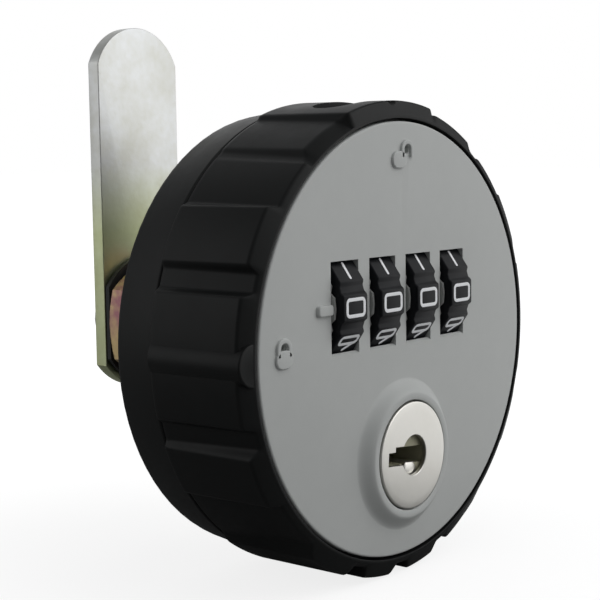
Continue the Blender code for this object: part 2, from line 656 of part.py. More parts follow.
def cam_screw(material):
    """Pan-head screw with a cross recess, in the end of the spindle."""
    head = cam_front() + CAM_THICKNESS + GAP + LOCK_WASHER_THICKNESS + GAP
    top = head + CAM_SCREW_HEAD_HEIGHT
    tip = cam_front() + CAM_THICKNESS - CAM_SCREW_DEPTH
    crown = CAM_SCREW_CROWN
    point = CAM_SCREW_POINT
    profile = [(0.0, tip), (CAM_SCREW_RADIUS - point, tip), (CAM_SCREW_RADIUS, tip + point),
               (CAM_SCREW_RADIUS, head), (CAM_SCREW_HEAD, head), (CAM_SCREW_HEAD, top - crown),
               (CAM_SCREW_HEAD - crown, top - crown / 4), (CAM_SCREW_HEAD - 2 * crown, top), (0.0, top)]
    screw = turned("cam_screw", profile, sides=SMALL_STEPS)
    cross_recess(screw, "cam_screw_cross", (0.0, top, 0.0), CAM_SCREW_HEAD, CAM_SCREW_HEAD_HEIGHT)
    return finished(screw, material)


def cross_recess(screw, name, place, head_radius, head_height):
    """Cuts a cross half as deep as the head into its back, whose middle is at place."""
    x, y, z = place
    reach = head_radius * CROSS_REACH
    half = head_radius * CROSS_HALF
    near = y - head_height / 2
    far = y + OVERRUN
    bar = block(name + "_a", (x - reach, near, z - half), (x + reach, far, z + half))
    cross = block(name + "_b", (x - half, near, z - reach), (x + half, far, z + reach))
    cut(screw, bar, cross)


def face_plate(material):
    """Grey face: windows, key collar, raised marks, and bosses behind."""
    hole = KEY_FACE_RADIUS + GAP
    edge = FACE_EDGE
    plate = turned("face_plate", [(0.0, Y_FACE), (FACE_RADIUS - edge, Y_FACE), (FACE_RADIUS, Y_FACE + edge),
                                  (FACE_RADIUS, Y_FACE_BACK), (0.0, Y_FACE_BACK)], sides=2 * ROUND_STEPS)
    collar = turned("key_collar", collar_profile(hole), (0.0, 0.0, KEY_Z), ROUND_STEPS)
    join(plate, collar)
    rise = Y_FACE - MARK_RISE
    for number, (x, z) in pillar_places():
        bottom = Y_FACE + PILLAR_TOP_FROM_FACE - GAP
        join(plate, rod(f"screw_boss_{number}", BOSS_RADIUS, Y_FACE + OVERRUN, bottom, (x, 0.0, z)))
    for number, x, _ in ear_places():
        bottom = Y_FACE_BACK + EAR_BOSS_HEIGHT
        join(plate, rod(f"ear_boss_{number}", EAR_BOSS_RADIUS, Y_FACE + OVERRUN, bottom, (x, 0.0, DIAL_Z)))
    for side in (-1, 1):
        join(plate, rod(f"barrel_boss_{side + 2}", BARREL_BOSS_RADIUS, Y_FACE + OVERRUN,
                        Y_FACE_BACK + BARREL_BOSS_HEIGHT, (side * BARREL_SCREW_X, 0.0, KEY_Z)))
    left = first_window_left()
    index = round_oblong((left - INDEX_LENGTH / 2, WINDOW_Z), INDEX_LENGTH, INDEX_HEIGHT, INDEX_CORNER)
    join(plate, extruded("index_bar", index, rise, Y_FACE + OVERRUN))
    for name, (x, z), shift in (("closed", CLOSED_MARK, 0.0), ("open", OPEN_MARK, OPEN_SHIFT)):
        body = round_oblong((x, z), PADLOCK_WIDTH, PADLOCK_HEIGHT, PADLOCK_HEIGHT * FULL_ROUND)
        join(plate, extruded(f"{name}_padlock", body, rise, Y_FACE + OVERRUN))
        join(plate, extruded(f"{name}_shackle", shackle_outline(x + shift, z), rise, Y_FACE + OVERRUN))
    for number, left in dial_places():
        outline = window_outline(rise - OVERRUN)
        cut(plate, extruded(f"window_{number}", outline, left, left + WINDOW_WIDTH, axis="X"))
    cut(plate, rod("key_hole_in_face", hole, Y_FACE - KEY_PROUD - OVERRUN, Y_FACE_BACK + OVERRUN,
                   (0.0, 0.0, KEY_Z), ROUND_STEPS))
    for number, (x, z) in pillar_places():
        start = Y_FACE + BASE_SCREW_TIP_FROM_FACE - OVERRUN
        cut(plate, rod(f"boss_bore_{number}", BASE_SCREW_RADIUS + GAP, start,
                       Y_FACE + PILLAR_TOP_FROM_FACE, (x, 0.0, z), TINY_STEPS))
    small = SMALL_SCREW_RADIUS + GAP
    start = Y_FACE_BACK - GAP
    end = Y_FACE_BACK + EAR_BOSS_HEIGHT + OVERRUN
    for number, x, _ in ear_places():
        cut(plate, rod(f"ear_bore_{number}", small, start, end, (x, 0.0, DIAL_Z), TINY_STEPS))
    for side in (-1, 1):
        cut(plate, rod(f"barrel_bore_{side + 2}", small, start, end,
                       (side * BARREL_SCREW_X, 0.0, KEY_Z), TINY_STEPS))
    return finished(plate, material)


def window_outline(front):
    """Window seen from the side: straight edges in front, scooped behind to clear the wheel."""
    low, high = WINDOW_Z - WINDOW_HEIGHT / 2, WINDOW_Z + WINDOW_HEIGHT / 2
    scoop = WHEEL_RADIUS + GAP
    middle = (Y_AXLE, DIAL_Z)
    behind = 180.0 - math.degrees(math.acos((Y_AXLE - Y_FACE_BACK - OVERRUN) / scoop))
    upper = 180.0 - math.degrees(math.asin((high - DIAL_Z) / scoop))
    lower = 180.0 + math.degrees(math.asin((DIAL_Z - low) / scoop))
    return ([(front, low), (front, high)] + arc(middle, scoop, upper, behind, 5)
            + arc(middle, scoop, 360.0 - behind, lower, 5))


def collar_profile(hole):
    """Soft mound round the key: rises from the face in a smooth S to just below the key's face."""
    steps = 6
    height = KEY_PROUD - GAP / 3
    crest = hole + COLLAR_CREST
    mound = []
    for i in range(steps + 1):
        share = i / steps
        rise = height * (1.0 + math.cos(math.pi * share)) / 2
        mound.append((crest + (COLLAR_RADIUS - crest) * share, Y_FACE - rise))
    return [(0.0, Y_FACE - height)] + mound + [(COLLAR_RADIUS, Y_FACE + OVERRUN), (0.0, Y_FACE + OVERRUN)]


def shackle_outline(x, z):
    """Bent bar of the padlock mark: half-round loop with two legs."""
    outer, inner = SHACKLE_WIDTH / 2, SHACKLE_WIDTH / 2 - SHACKLE_BAR
    crown = z + SHACKLE_RISE - outer
    foot = z + PADLOCK_HEIGHT / 4
    loop = arc((x, crown), outer, 0.0, 180.0, 10)
    inside = arc((x, crown), inner, 180.0, 0.0, 8)
    return [(x + outer, foot)] + loop + [(x - outer, foot), (x - inner, foot)] + inside + [(x + inner, foot)]


def wheel_carrier(material):
    """Frame behind the windows: end walls for the axle, rear wall with the comb's guide, two ears."""
    left, right, bottom, top = carrier_inside()
    rim = CARRIER_RIM
    wall = CARRIER_WALL
    frame = block("wheel_carrier", (left - wall, Y_CARRIER, bottom - rim),
                  (right + wall, Y_CARRIER_BACK, top + rim))
    rear = Y_CARRIER_BACK - CARRIER_REAR
    cut(frame, block("carrier_pocket", (left, Y_CARRIER - OVERRUN, bottom), (right, rear, top)))
    guide = COMB_HALF_HEIGHT + GAP
    cut(frame, block("comb_guide", (comb_left() - GAP, rear - OVERRUN, DIAL_Z - guide),
                     (comb_right() + COMB_TRAVEL + GAP, Y_CARRIER_BACK + OVERRUN, DIAL_Z + guide)))
    lug = LUG_HALF + GAP
    cut(frame, block("lug_guide", (PEG_START_X - lug, rear - OVERRUN, -lug),
                     (PEG_START_X + COMB_TRAVEL + lug, Y_CARRIER_BACK + OVERRUN, DIAL_Z)))
    ear = Y_FACE_BACK + EAR_BOSS_HEIGHT + GAP
    for number, x, side in ear_places():
        inner_x = x - side * (EAR_REACH / 2 + wall / 2)
        outer_x = x + side * EAR_REACH / 2
        low, high = min(inner_x, outer_x), max(inner_x, outer_x)
        join(frame, block(f"ear_{number}", (low, ear, DIAL_Z - EAR_HALF),
                          (high, ear + EAR_THICKNESS, DIAL_Z + EAR_HALF)))
    for number, x, _ in ear_places():
        cut(frame, rod(f"ear_hole_{number}", SMALL_SCREW_RADIUS + GAP, ear - OVERRUN,
                       ear + EAR_THICKNESS + OVERRUN, (x, 0.0, DIAL_Z), TINY_STEPS))
    cut(frame, rod("axle_holes", AXLE_RADIUS + GAP, left - wall - GAP, right + wall + GAP,
                   (0.0, Y_AXLE, DIAL_Z), SMALL_STEPS, "X"))
    return finished(frame, material)


def dial_axle(material):
    left, right, _, _ = carrier_inside()
    end = CARRIER_WALL - GAP
    place = (0.0, Y_AXLE, DIAL_Z)
    return finished(rod("dial_axle", AXLE_RADIUS, left - end, right + end, place, SMALL_STEPS, "X"), material)


def dial_wheel(number, left, material):
    """Number wheel: ten flat pads with notches between them, pad zero to the front."""
    outline = []
    corner = math.degrees(math.atan2(PAD_HALF, WHEEL_FLAT))
    for i in range(DIGITS):
        middle = 180.0 + 360.0 * i / DIGITS
        half = 180.0 / DIGITS
        for angle, radius in ((middle - half + NOTCH_HALF_DEG, WHEEL_NOTCH_RADIUS),
                              (middle - corner, WHEEL_RADIUS), (middle + corner, WHEEL_RADIUS),
                              (middle + half - NOTCH_HALF_DEG, WHEEL_NOTCH_RADIUS)):
            turn = math.radians(angle)
            outline.append((radius * math.cos(turn), radius * math.sin(turn)))
    middle_x = left + WHEEL_X + WHEEL_WIDTH / 2
    half = WHEEL_WIDTH / 2
    wheel = extruded(f"dial_wheel_{number}", outline, -half, half, (middle_x, Y_AXLE, DIAL_Z), "X")
    bore = rod(f"wheel_bore_{number}", SLEEVE_HUB_RADIUS + GAP, -half - OVERRUN, half + OVERRUN,
               (middle_x, Y_AXLE, DIAL_Z), SMALL_STEPS, "X")
    cut(wheel, bore)
    return finished(wheel, material)


def notched_disc(radius, depth, half_deg):
    """Round outline with a notch between each two digits."""
    outline = []
    step = 360.0 / DIGITS
    for i in range(DIGITS):
        middle = 180.0 + step * i
        side = step / 2 - half_deg
        outline += arc((0.0, 0.0), radius, middle - side, middle + side, 2)
        turn = math.radians(middle + step / 2)
        outline.append(((radius - depth) * math.cos(turn), (radius - depth) * math.sin(turn)))
    return outline


def code_sleeve(number, left, material):
    """Sleeve in the wheel: notched detent disc on the left, gated code flange on the right."""
    middle_x = left + WHEEL_X + WHEEL_WIDTH / 2
    place = (middle_x, Y_AXLE, DIAL_Z)
    start = left + DISC_X - middle_x
    disc = start + DETENT_DISC_WIDTH
    flange = left + FLANGE_X - middle_x
    end = flange + CODE_FLANGE_WIDTH
    outline = notched_disc(DETENT_DISC_RADIUS, DETENT_DEPTH, DETENT_HALF_DEG)
    sleeve = extruded(f"code_sleeve_{number}", outline, start, disc, place, "X")
    inside = (start + disc) / 2
    profile = [(0.0, inside), (SLEEVE_HUB_RADIUS, inside), (SLEEVE_HUB_RADIUS, flange),
               (CODE_FLANGE_RADIUS, flange), (CODE_FLANGE_RADIUS, end), (0.0, end)]
    join(sleeve, turned(f"sleeve_hub_{number}", profile, place, SMALL_STEPS, "X"))
    gate = FINGER_HEIGHT / 2 + GAP
    cut(sleeve, block(f"gate_{number}", (flange - GAP / 2, CODE_FLANGE_RADIUS - GATE_DEPTH, -gate),
                      (end + GAP / 2, CODE_FLANGE_RADIUS + OVERRUN, gate), place),
        rod(f"sleeve_bore_{number}", AXLE_RADIUS + GAP, start - OVERRUN, end + OVERRUN, place,
            TINY_STEPS, "X"))
    return finished(sleeve, material)


def comb_left():
    return first_window_left() + FINGER_X - COMB_END


def comb_right():
    return last_window_left() + FINGER_X + FINGER_WIDTH + COMB_END


def locking_comb(material):
    """Sliding comb: a finger beside each code flange and a peg in the ring's spiral slot."""
    back = Y_CARRIER_BACK - GAP / 2
    front = back - COMB_THICKNESS
    comb = block("locking_comb", (comb_left(), front, DIAL_Z - COMB_HALF_HEIGHT),
                 (comb_right(), back, DIAL_Z + COMB_HALF_HEIGHT))
    tip = Y_AXLE + CODE_FLANGE_RADIUS - GATE_DEPTH + GAP
    for number, left in dial_places():
        x = left + FINGER_X
        join(comb, block(f"finger_{number}", (x, tip, DIAL_Z - FINGER_HEIGHT / 2),
                         (x + FINGER_WIDTH, front + GAP, DIAL_Z + FINGER_HEIGHT / 2)))
    join(comb, block("comb_lug", (PEG_START_X - LUG_HALF, front, -LUG_HALF),
                     (PEG_START_X + LUG_HALF, back, DIAL_Z - GAP)))
    join(comb, rod("comb_peg", PEG_RADIUS, back - GAP, Y_WEB_BACK, (PEG_START_X, 0.0, 0.0)))
    return finished(comb, material)


def detent_spring(material):
    """Leaf spring: a strip on the carrier's floor with a bent finger under each detent disc."""
    _, _, bottom, _ = carrier_inside()
    low = bottom + GAP
    thick = SPRING_THICKNESS
    strip_back = Y_CARRIER_BACK - CARRIER_REAR - GAP
    strip_front = strip_back - SPRING_STRIP_WIDTH
    left = first_window_left()
    right = last_window_left() + SPRING_FINGER_WIDTH
    spring = block("detent_spring", (left, strip_front, low), (right, strip_back, low + thick))
    top = DIAL_Z - DETENT_DISC_RADIUS - GAP
    crest = Y_AXLE
    half = SPRING_CREST_HALF
    run, drop = SPRING_FLANK
    upper = [(strip_front + GAP, low + thick), (crest + half + run, top - drop), (crest + half, top),
             (crest - half, top), (crest - half - run, top - drop)]
    lower = [(y, z - thick) for y, z in upper[1:]]
    outline = upper + lower[::-1] + [(strip_front + GAP, low)]
    for number, left in dial_places():
        x = left + DISC_X + DETENT_DISC_WIDTH - SPRING_FINGER_WIDTH
        join(spring, extruded(f"spring_finger_{number}", outline, x, x + SPRING_FINGER_WIDTH, axis="X"))
    return finished(spring, material)


def pan_screw(name, place, radius, head_radius, head_height, tip, head, material):
    """Screw driven from behind: shank from tip to head, cross recess in the head's back."""
    x, z = place
    top = head + head_height
    round_off = head_height / 3
    profile = [(0.0, tip), (radius, tip), (radius, head), (head_radius, head),
               (head_radius, top - round_off), (head_radius - round_off, top), (0.0, top)]
    screw = turned(name, profile, (x, 0.0, z), TINY_STEPS)
    cross_recess(screw, name + "_cross", (x, top, z), head_radius, head_height)
    return finished(screw, material)


def key_barrel(material):
    """Housing of the key cylinder with two ears screwed behind the face plate."""
    front = Y_FACE_BACK + GAP
    back = front + BARREL_LENGTH
    inner = PLUG_RADIUS + RUN
    profile = [(inner, front), (BARREL_RADIUS, front), (BARREL_RADIUS, back), (inner, back)]
    barrel = turned("key_barrel", profile, (0.0, 0.0, KEY_Z))
    ear = Y_FACE_BACK + BARREL_BOSS_HEIGHT + GAP
    for side in (-1, 1):
        low, high = sorted((side * (inner + 2 * GAP), side * BARREL_EAR_REACH))
        ears = block(f"barrel_ear_{side + 2}", (low, ear, KEY_Z - BARREL_EAR_HALF),
                     (high, ear + BARREL_EAR_THICKNESS, KEY_Z + BARREL_EAR_HALF))
        join(barrel, ears)
    for side in (-1, 1):
        cut(barrel, rod(f"barrel_ear_hole_{side + 2}", SMALL_SCREW_RADIUS + GAP, ear - OVERRUN,
                        ear + BARREL_EAR_THICKNESS + OVERRUN, (side * BARREL_SCREW_X, 0.0, KEY_Z),
                        TINY_STEPS))
    return finished(barrel, material)


def key_face(material):
    """Bright pressed cover over the plug's head, with the keyhole."""
    front = Y_FACE - KEY_PROUD
    inside = KEY_FACE_RADIUS - KEY_SKIRT
    back = Y_FACE_BACK
    edge = KEY_EDGE
    profile = [(0.0, front), (KEY_FACE_RADIUS - edge, front), (KEY_FACE_RADIUS, front + edge),
               (KEY_FACE_RADIUS, back), (inside, back), (inside, front + KEY_COVER), (0.0, front + KEY_COVER)]
    cover = turned("key_face", profile, (0.0, 0.0, KEY_Z))
    hole = rod("face_keyhole", KEYHOLE_RADIUS, front - OVERRUN, front + KEY_COVER + OVERRUN,
               (KEYHOLE_X, 0.0, KEY_Z), SMALL_STEPS)
    inner = KEYWAY_STEP[0] - KEYWAY_LEFT
    shelf = KEYWAY_TOP - KEYWAY_STEP[1]
    outline = [(0.0, KEYWAY_TOP), (inner, KEYWAY_TOP), (inner, shelf), (-KEYWAY_LEFT, shelf),
               (-KEYWAY_LEFT, -KEYWAY_BOTTOM), (0.0, -KEYWAY_BOTTOM)]
    slot = extruded("face_keyway", outline, front - OVERRUN, front + KEY_COVER + OVERRUN, (0.0, 0.0, KEY_Z))
    cut(cover, hole, slot)
    return finished(cover, material)


def key_plug(material):
    """Turning core: head under the cover, keyway, bore for the pin and a square tail."""
    front = Y_FACE - KEY_PROUD + KEY_COVER + GAP
    head_radius = KEY_FACE_RADIUS - KEY_SKIRT - GAP
    barrel_back = Y_FACE_BACK + GAP + BARREL_LENGTH
    profile = [(0.0, front), (head_radius, front), (head_radius, Y_FACE_BACK), (PLUG_RADIUS, Y_FACE_BACK),
               (PLUG_RADIUS, barrel_back), (0.0, barrel_back)]
    plug = turned("key_plug", profile, (0.0, 0.0, KEY_Z))
    half = TAIL_SQUARE / 2
    join(plug, block("plug_tail", (-half, barrel_back - OVERRUN, -half),
                     (half, barrel_back + GAP + TAIL_CAM_THICKNESS, half), (0.0, 0.0, KEY_Z)))
    cut(plug, block("plug_keyway", (-KEYWAY_LEFT, front - OVERRUN, -PLUG_SLOT_BOTTOM),
                    (PLUG_SLOT_RIGHT, front + PLUG_SLOT_DEPTH, PLUG_SLOT_TOP), (0.0, 0.0, KEY_Z)))
    pin_end = front + KEY_PIN_LENGTH + GAP
    cut(plug, rod("pin_bore", KEY_PIN_RADIUS + GAP / 2, front - OVERRUN, pin_end,
                  (KEY_PIN_X, 0.0, KEY_Z - KEY_PIN_DROP), TINY_STEPS))
    return finished(plug, material)


def key_pin(material):
    """Ball-nosed pin under the keyway, cut flat level with the keyway's floor."""
    front = Y_FACE - KEY_PROUD + KEY_COVER + GAP
    start = front + KEY_PIN_RADIUS
    end = front + KEY_PIN_LENGTH
    nose = arc((0.0, 0.0), KEY_PIN_RADIUS, 0.0, 90.0, 5)
    profile = [(0.0, end), (KEY_PIN_RADIUS, end)] + [(r, start - d) for r, d in nose[:-1]]
    profile.append((0.0, start - KEY_PIN_RADIUS))
    pin = turned("key_pin", profile, (KEY_PIN_X, 0.0, KEY_Z - KEY_PIN_DROP), TINY_STEPS)
    side = 2 * KEY_PIN_RADIUS
    floor = KEY_Z - PLUG_SLOT_BOTTOM
    cut(pin, block("pin_flat", (-side, front - side, floor), (side, end + OVERRUN, floor + side)))
    return finished(pin, material)


def key_tail_cam(material):
    """Small arm on the plug's square tail."""
    start = Y_FACE_BACK + GAP + BARREL_LENGTH + GAP
    half = TAIL_CAM_HALF
    outline = arc((TAIL_CAM_REACH - half, 0.0), half, -90.0, 90.0, 8) + arc((0.0, 0.0), half, 90.0, 270.0, 8)
    arm = extruded("key_tail_cam", outline, start, start + TAIL_CAM_THICKNESS, (0.0, 0.0, KEY_Z))
    hole = TAIL_SQUARE / 2 + GAP / 2
    end = start + TAIL_CAM_THICKNESS + OVERRUN
    cut(arm, block("tail_hole", (-hole, start - OVERRUN, -hole), (hole, end, hole), (0.0, 0.0, KEY_Z)))
    return finished(arm, material)


def build():
    clear_scene()
    black = make_material("black_plastic", (0.012, 0.013, 0.014), 0.45)
    grey = make_material("grey_plastic", (0.32, 0.32, 0.31), 0.5)
    wheel_black = make_material("wheel_plastic", (0.02, 0.021, 0.024), 0.4)
    sleeve_grey = make_material("sleeve_plastic", (0.3, 0.3, 0.29), 0.5)
    zinc = make_material("zinc_plated_steel", (0.7, 0.72, 0.72), 0.35, 1.0)
    yellow = make_material("yellow_zinc_steel", (0.72, 0.52, 0.28), 0.3, 1.0)
    dark_steel = make_material("black_steel", (0.02, 0.02, 0.02), 0.5)
    nickel = make_material("nickel", (0.75, 0.73, 0.68), 0.25, 1.0)
    cast_zinc = make_material("cast_zinc", (0.45, 0.44, 0.38), 0.5, 1.0)
    spring_steel = make_material("spring_steel", (0.5, 0.5, 0.5), 0.3, 1.0)

    back_base(black)
    threaded_neck(zinc)
    fixing_nut(yellow)
    grip_ring(black)
    spindle(zinc)
    stop_washer(dark_steel)
    cam(zinc)
    cam_lock_washer(spring_steel)
    cam_screw(zinc)
    face_plate(grey)
    wheel_carrier(black)
    dial_axle(spring_steel)
    for number, left in dial_places():
        dial_wheel(number, left, wheel_black)
        code_sleeve(number, left, sleeve_grey)
    locking_comb(cast_zinc)
    detent_spring(spring_steel)
    key_barrel(cast_zinc)
    key_face(nickel)
    key_plug(cast_zinc)
    key_pin(nickel)
    key_tail_cam(zinc)

    for number, (x, z) in pillar_places():
        head = -(BASE_SCREW_HEAD_HEIGHT + GAP)
        pan_screw(f"base_screw_{number}", (x, z), BASE_SCREW_RADIUS, BASE_SCREW_HEAD,
                  BASE_SCREW_HEAD_HEIGHT, Y_FACE + BASE_SCREW_TIP_FROM_FACE, head, zinc)
    tip = Y_FACE_BACK
    ear_back = Y_FACE_BACK + EAR_BOSS_HEIGHT + GAP + EAR_THICKNESS
    for number, x, _ in ear_places():
        pan_screw(f"carrier_screw_{number}", (x, DIAL_Z), SMALL_SCREW_RADIUS, SMALL_SCREW_HEAD,
                  SMALL_SCREW_HEAD_HEIGHT, tip, ear_back + GAP, zinc)
    barrel_ear_back = Y_FACE_BACK + BARREL_BOSS_HEIGHT + GAP + BARREL_EAR_THICKNESS
    for number, side in ((1, -1), (2, 1)):
        pan_screw(f"barrel_screw_{number}", (side * BARREL_SCREW_X, KEY_Z), SMALL_SCREW_RADIUS,
                  SMALL_SCREW_HEAD, SMALL_SCREW_HEAD_HEIGHT, tip, barrel_ear_back + GAP, zinc)


build()
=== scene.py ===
"""Looks of the round combination locker lock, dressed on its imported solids.

Lengths in the piece sections are millimetres in the lock's own frame: the axis is Y, the front
faces -Y and +Z is up. Each mesh is turned into metres when it is made.
"""

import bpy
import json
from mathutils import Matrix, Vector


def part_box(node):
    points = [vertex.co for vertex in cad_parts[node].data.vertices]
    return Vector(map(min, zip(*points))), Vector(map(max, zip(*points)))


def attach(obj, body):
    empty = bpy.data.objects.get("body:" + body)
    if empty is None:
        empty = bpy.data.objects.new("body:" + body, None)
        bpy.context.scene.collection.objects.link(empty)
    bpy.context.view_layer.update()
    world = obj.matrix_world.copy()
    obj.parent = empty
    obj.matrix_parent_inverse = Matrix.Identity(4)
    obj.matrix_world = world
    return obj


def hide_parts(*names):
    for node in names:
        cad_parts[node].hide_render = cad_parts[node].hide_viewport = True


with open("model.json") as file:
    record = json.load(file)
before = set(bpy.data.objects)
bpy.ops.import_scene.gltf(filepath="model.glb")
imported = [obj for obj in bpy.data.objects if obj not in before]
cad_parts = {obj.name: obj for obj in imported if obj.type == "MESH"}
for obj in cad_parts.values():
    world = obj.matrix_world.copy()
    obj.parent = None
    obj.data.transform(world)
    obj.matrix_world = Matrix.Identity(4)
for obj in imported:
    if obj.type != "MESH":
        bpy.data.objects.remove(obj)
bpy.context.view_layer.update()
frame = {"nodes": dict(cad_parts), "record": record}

import json
import math

import bmesh
import bpy
import numpy as np
from mathutils import Matrix

MM = 0.001

# Studio: a camera low on the lock's left, a pale floor under the ring, a strong broad lamp in
# front on the right and four weak ones above and behind. The surround is white where the camera
# sees it, and lights the lock with a dim grey.
camera_data = bpy.data.cameras.new("camera")
camera_data.lens = 89.23
camera_data.sensor_width = 36.0
camera_data.shift_y = 0.001
camera = bpy.data.objects.new("camera", camera_data)
camera.matrix_world = Matrix(((0.6407, 0.0863, -0.7629, -0.14206),
                              (-0.7676, 0.0525, -0.6387, -0.12386),
                              (-0.0151, 0.9949, 0.0999, 0.022454),
                              (0.0, 0.0, 0.0, 1.0)))
bpy.context.scene.collection.objects.link(camera)
bpy.context.scene.camera = camera
bpy.context.scene.view_settings.view_transform = "Standard"


def seen_directly(tree):
    """Value that is 1 where a ray comes straight from the camera."""
    return tree.nodes.new("ShaderNodeLightPath").outputs["Is Camera Ray"]


world = bpy.data.worlds.new("surround")
bpy.context.scene.world = world
world.use_nodes = True
background = world.node_tree.nodes["Background"]
shade = world.node_tree.nodes.new("ShaderNodeMix")
shade.data_type = "RGBA"
shade.inputs["A"].default_value = (0.22, 0.225, 0.23, 1.0)
shade.inputs["B"].default_value = (1.0, 1.0, 1.0, 1.0)
world.node_tree.links.new(seen_directly(world.node_tree), shade.inputs["Factor"])
world.node_tree.links.new(shade.outputs["Result"], background.inputs["Color"])


def lamp(name, place, target, size, power):
    """Square area lamp that faces its target."""
    data = bpy.data.lights.new(name, "AREA")
    data.size = size
    data.energy = power
    light = bpy.data.objects.new(name, data)
    place = np.array(place)
    back = place - np.array(target)
    back = back / np.linalg.norm(back)
    side = np.cross((0.0, 0.0, 1.0), back)
    side = side / np.linalg.norm(side)
    rise = np.cross(back, side)
    axes = np.stack((side, rise, back, place), axis=1)
    light.matrix_world = Matrix([*axes.tolist(), [0.0, 0.0, 0.0, 1.0]])
    bpy.context.scene.collection.objects.link(light)


lamp("lamp_above", (0.10, -0.34, 0.48), (0.0, -0.01, 0.0), 0.60, 0.8)
lamp("lamp_front", (0.56, -0.64, 0.26), (0.0, 0.0, 0.01), 1.20, 5.4)
lamp("lamp_back", (0.20, 0.42, 0.46), (0.0, 0.0, 0.0), 0.50, 0.28)
lamp("lamp_left", (-0.25, 0.21, 0.10), (0.0, 0.0, 0.0), 0.30, 0.24)
lamp("lamp_rim", (0.35, 0.30, 0.10), (0.0, 0.0, 0.02), 0.30, 0.25)

floor_mesh = bpy.data.meshes.new("floor")
floor_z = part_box("grip_ring")[0][2] - 0.0002
floor_corners = [(x, y, floor_z) for x, y in ((-3, -3), (3, -3), (3, 3), (-3, 3))]
floor_mesh.from_pydata(floor_corners, [], [(0, 1, 2, 3)])
floor = bpy.data.objects.new("floor", floor_mesh)
bpy.context.scene.collection.objects.link(floor)
pale = bpy.data.materials.new("pale_floor")
pale.use_nodes = True
pale_shader = pale.node_tree.nodes["Principled BSDF"]
pale_shader.inputs["Base Color"].default_value = (0.28, 0.28, 0.28, 1.0)
pale_shader.inputs["Roughness"].default_value = 0.9
pale_shader.inputs["Specular IOR Level"].default_value = 0.0
pale_shader.inputs["Emission Color"].default_value = (1.0, 1.0, 1.0, 1.0)
# Seen directly the floor is white, and a little darker close to the lock.
floor_place = pale.node_tree.nodes.new("ShaderNodeTexCoord")
away = pale.node_tree.nodes.new("ShaderNodeVectorMath")
away.operation = "LENGTH"
fade = pale.node_tree.nodes.new("ShaderNodeMapRange")
fade.inputs["From Min"].default_value = 0.04
fade.inputs["From Max"].default_value = 0.16
fade.inputs["To Min"].default_value = 0.82
fade.inputs["To Max"].default_value = 1.0
lift = pale.node_tree.nodes.new("ShaderNodeMath")
lift.operation = "MULTIPLY"
pale.node_tree.links.new(floor_place.outputs["Object"], away.inputs[0])
pale.node_tree.links.new(away.outputs["Value"], fade.inputs["Value"])
pale.node_tree.links.new(fade.outputs["Result"], lift.inputs[0])
pale.node_tree.links.new(seen_directly(pale.node_tree), lift.inputs[1])
# To mirrors the floor is a white sheet on the lock's right, and dark on its left.
mirrored = pale.node_tree.nodes.new("ShaderNodeLightPath")
across = pale.node_tree.nodes.new("ShaderNodeSeparateXYZ")
sheet = pale.node_tree.nodes.new("ShaderNodeMapRange")
sheet.inputs["From Min"].default_value = 0.02
sheet.inputs["From Max"].default_value = 0.06
sheet.inputs["To Max"].default_value = 0.80
glow = pale.node_tree.nodes.new("ShaderNodeMath")
glow.operation = "MULTIPLY_ADD"
pale.node_tree.links.new(floor_place.outputs["Object"], across.inputs[0])
pale.node_tree.links.new(across.outputs["X"], sheet.inputs["Value"])
pale.node_tree.links.new(sheet.outputs["Result"], glow.inputs[0])
pale.node_tree.links.new(mirrored.outputs["Is Glossy Ray"], glow.inputs[1])
pale.node_tree.links.new(lift.outputs[0], glow.inputs[2])
pale.node_tree.links.new(glow.outputs[0], pale_shader.inputs["Emission Strength"])
floor_mesh.materials.append(pale)


# Rear case: black nylon cup, moulded with a fine spark texture, with three screws from behind.
# It is fixed to the door and does not turn.
def effect(name, inputs, outputs):
    """Empty shader group with named inputs (name, kind, value) and outputs (name, kind)."""
    tree = bpy.data.node_groups.new(name, "ShaderNodeTree")
    for title, kind, value in inputs:
        socket = tree.interface.new_socket(title, in_out="INPUT", socket_type=kind)
        if value is not None:
            socket.default_value = value
    for title, kind in outputs:
        tree.interface.new_socket(title, in_out="OUTPUT", socket_type=kind)
    return tree, tree.nodes.new("NodeGroupInput"), tree.nodes.new("NodeGroupOutput")


def noise(tree, vector, scale, detail, factor=1.0):
    """Noise at a scale given by a socket times a factor."""
    texture = tree.nodes.new("ShaderNodeTexNoise")
    texture.inputs["Detail"].default_value = detail
    times = tree.nodes.new("ShaderNodeMath")
    times.operation = "MULTIPLY"
    times.inputs[1].default_value = factor
    tree.links.new(scale, times.inputs[0])
    tree.links.new(times.outputs[0], texture.inputs["Scale"])
    tree.links.new(vector, texture.inputs["Vector"])
    return texture.outputs["Fac"]


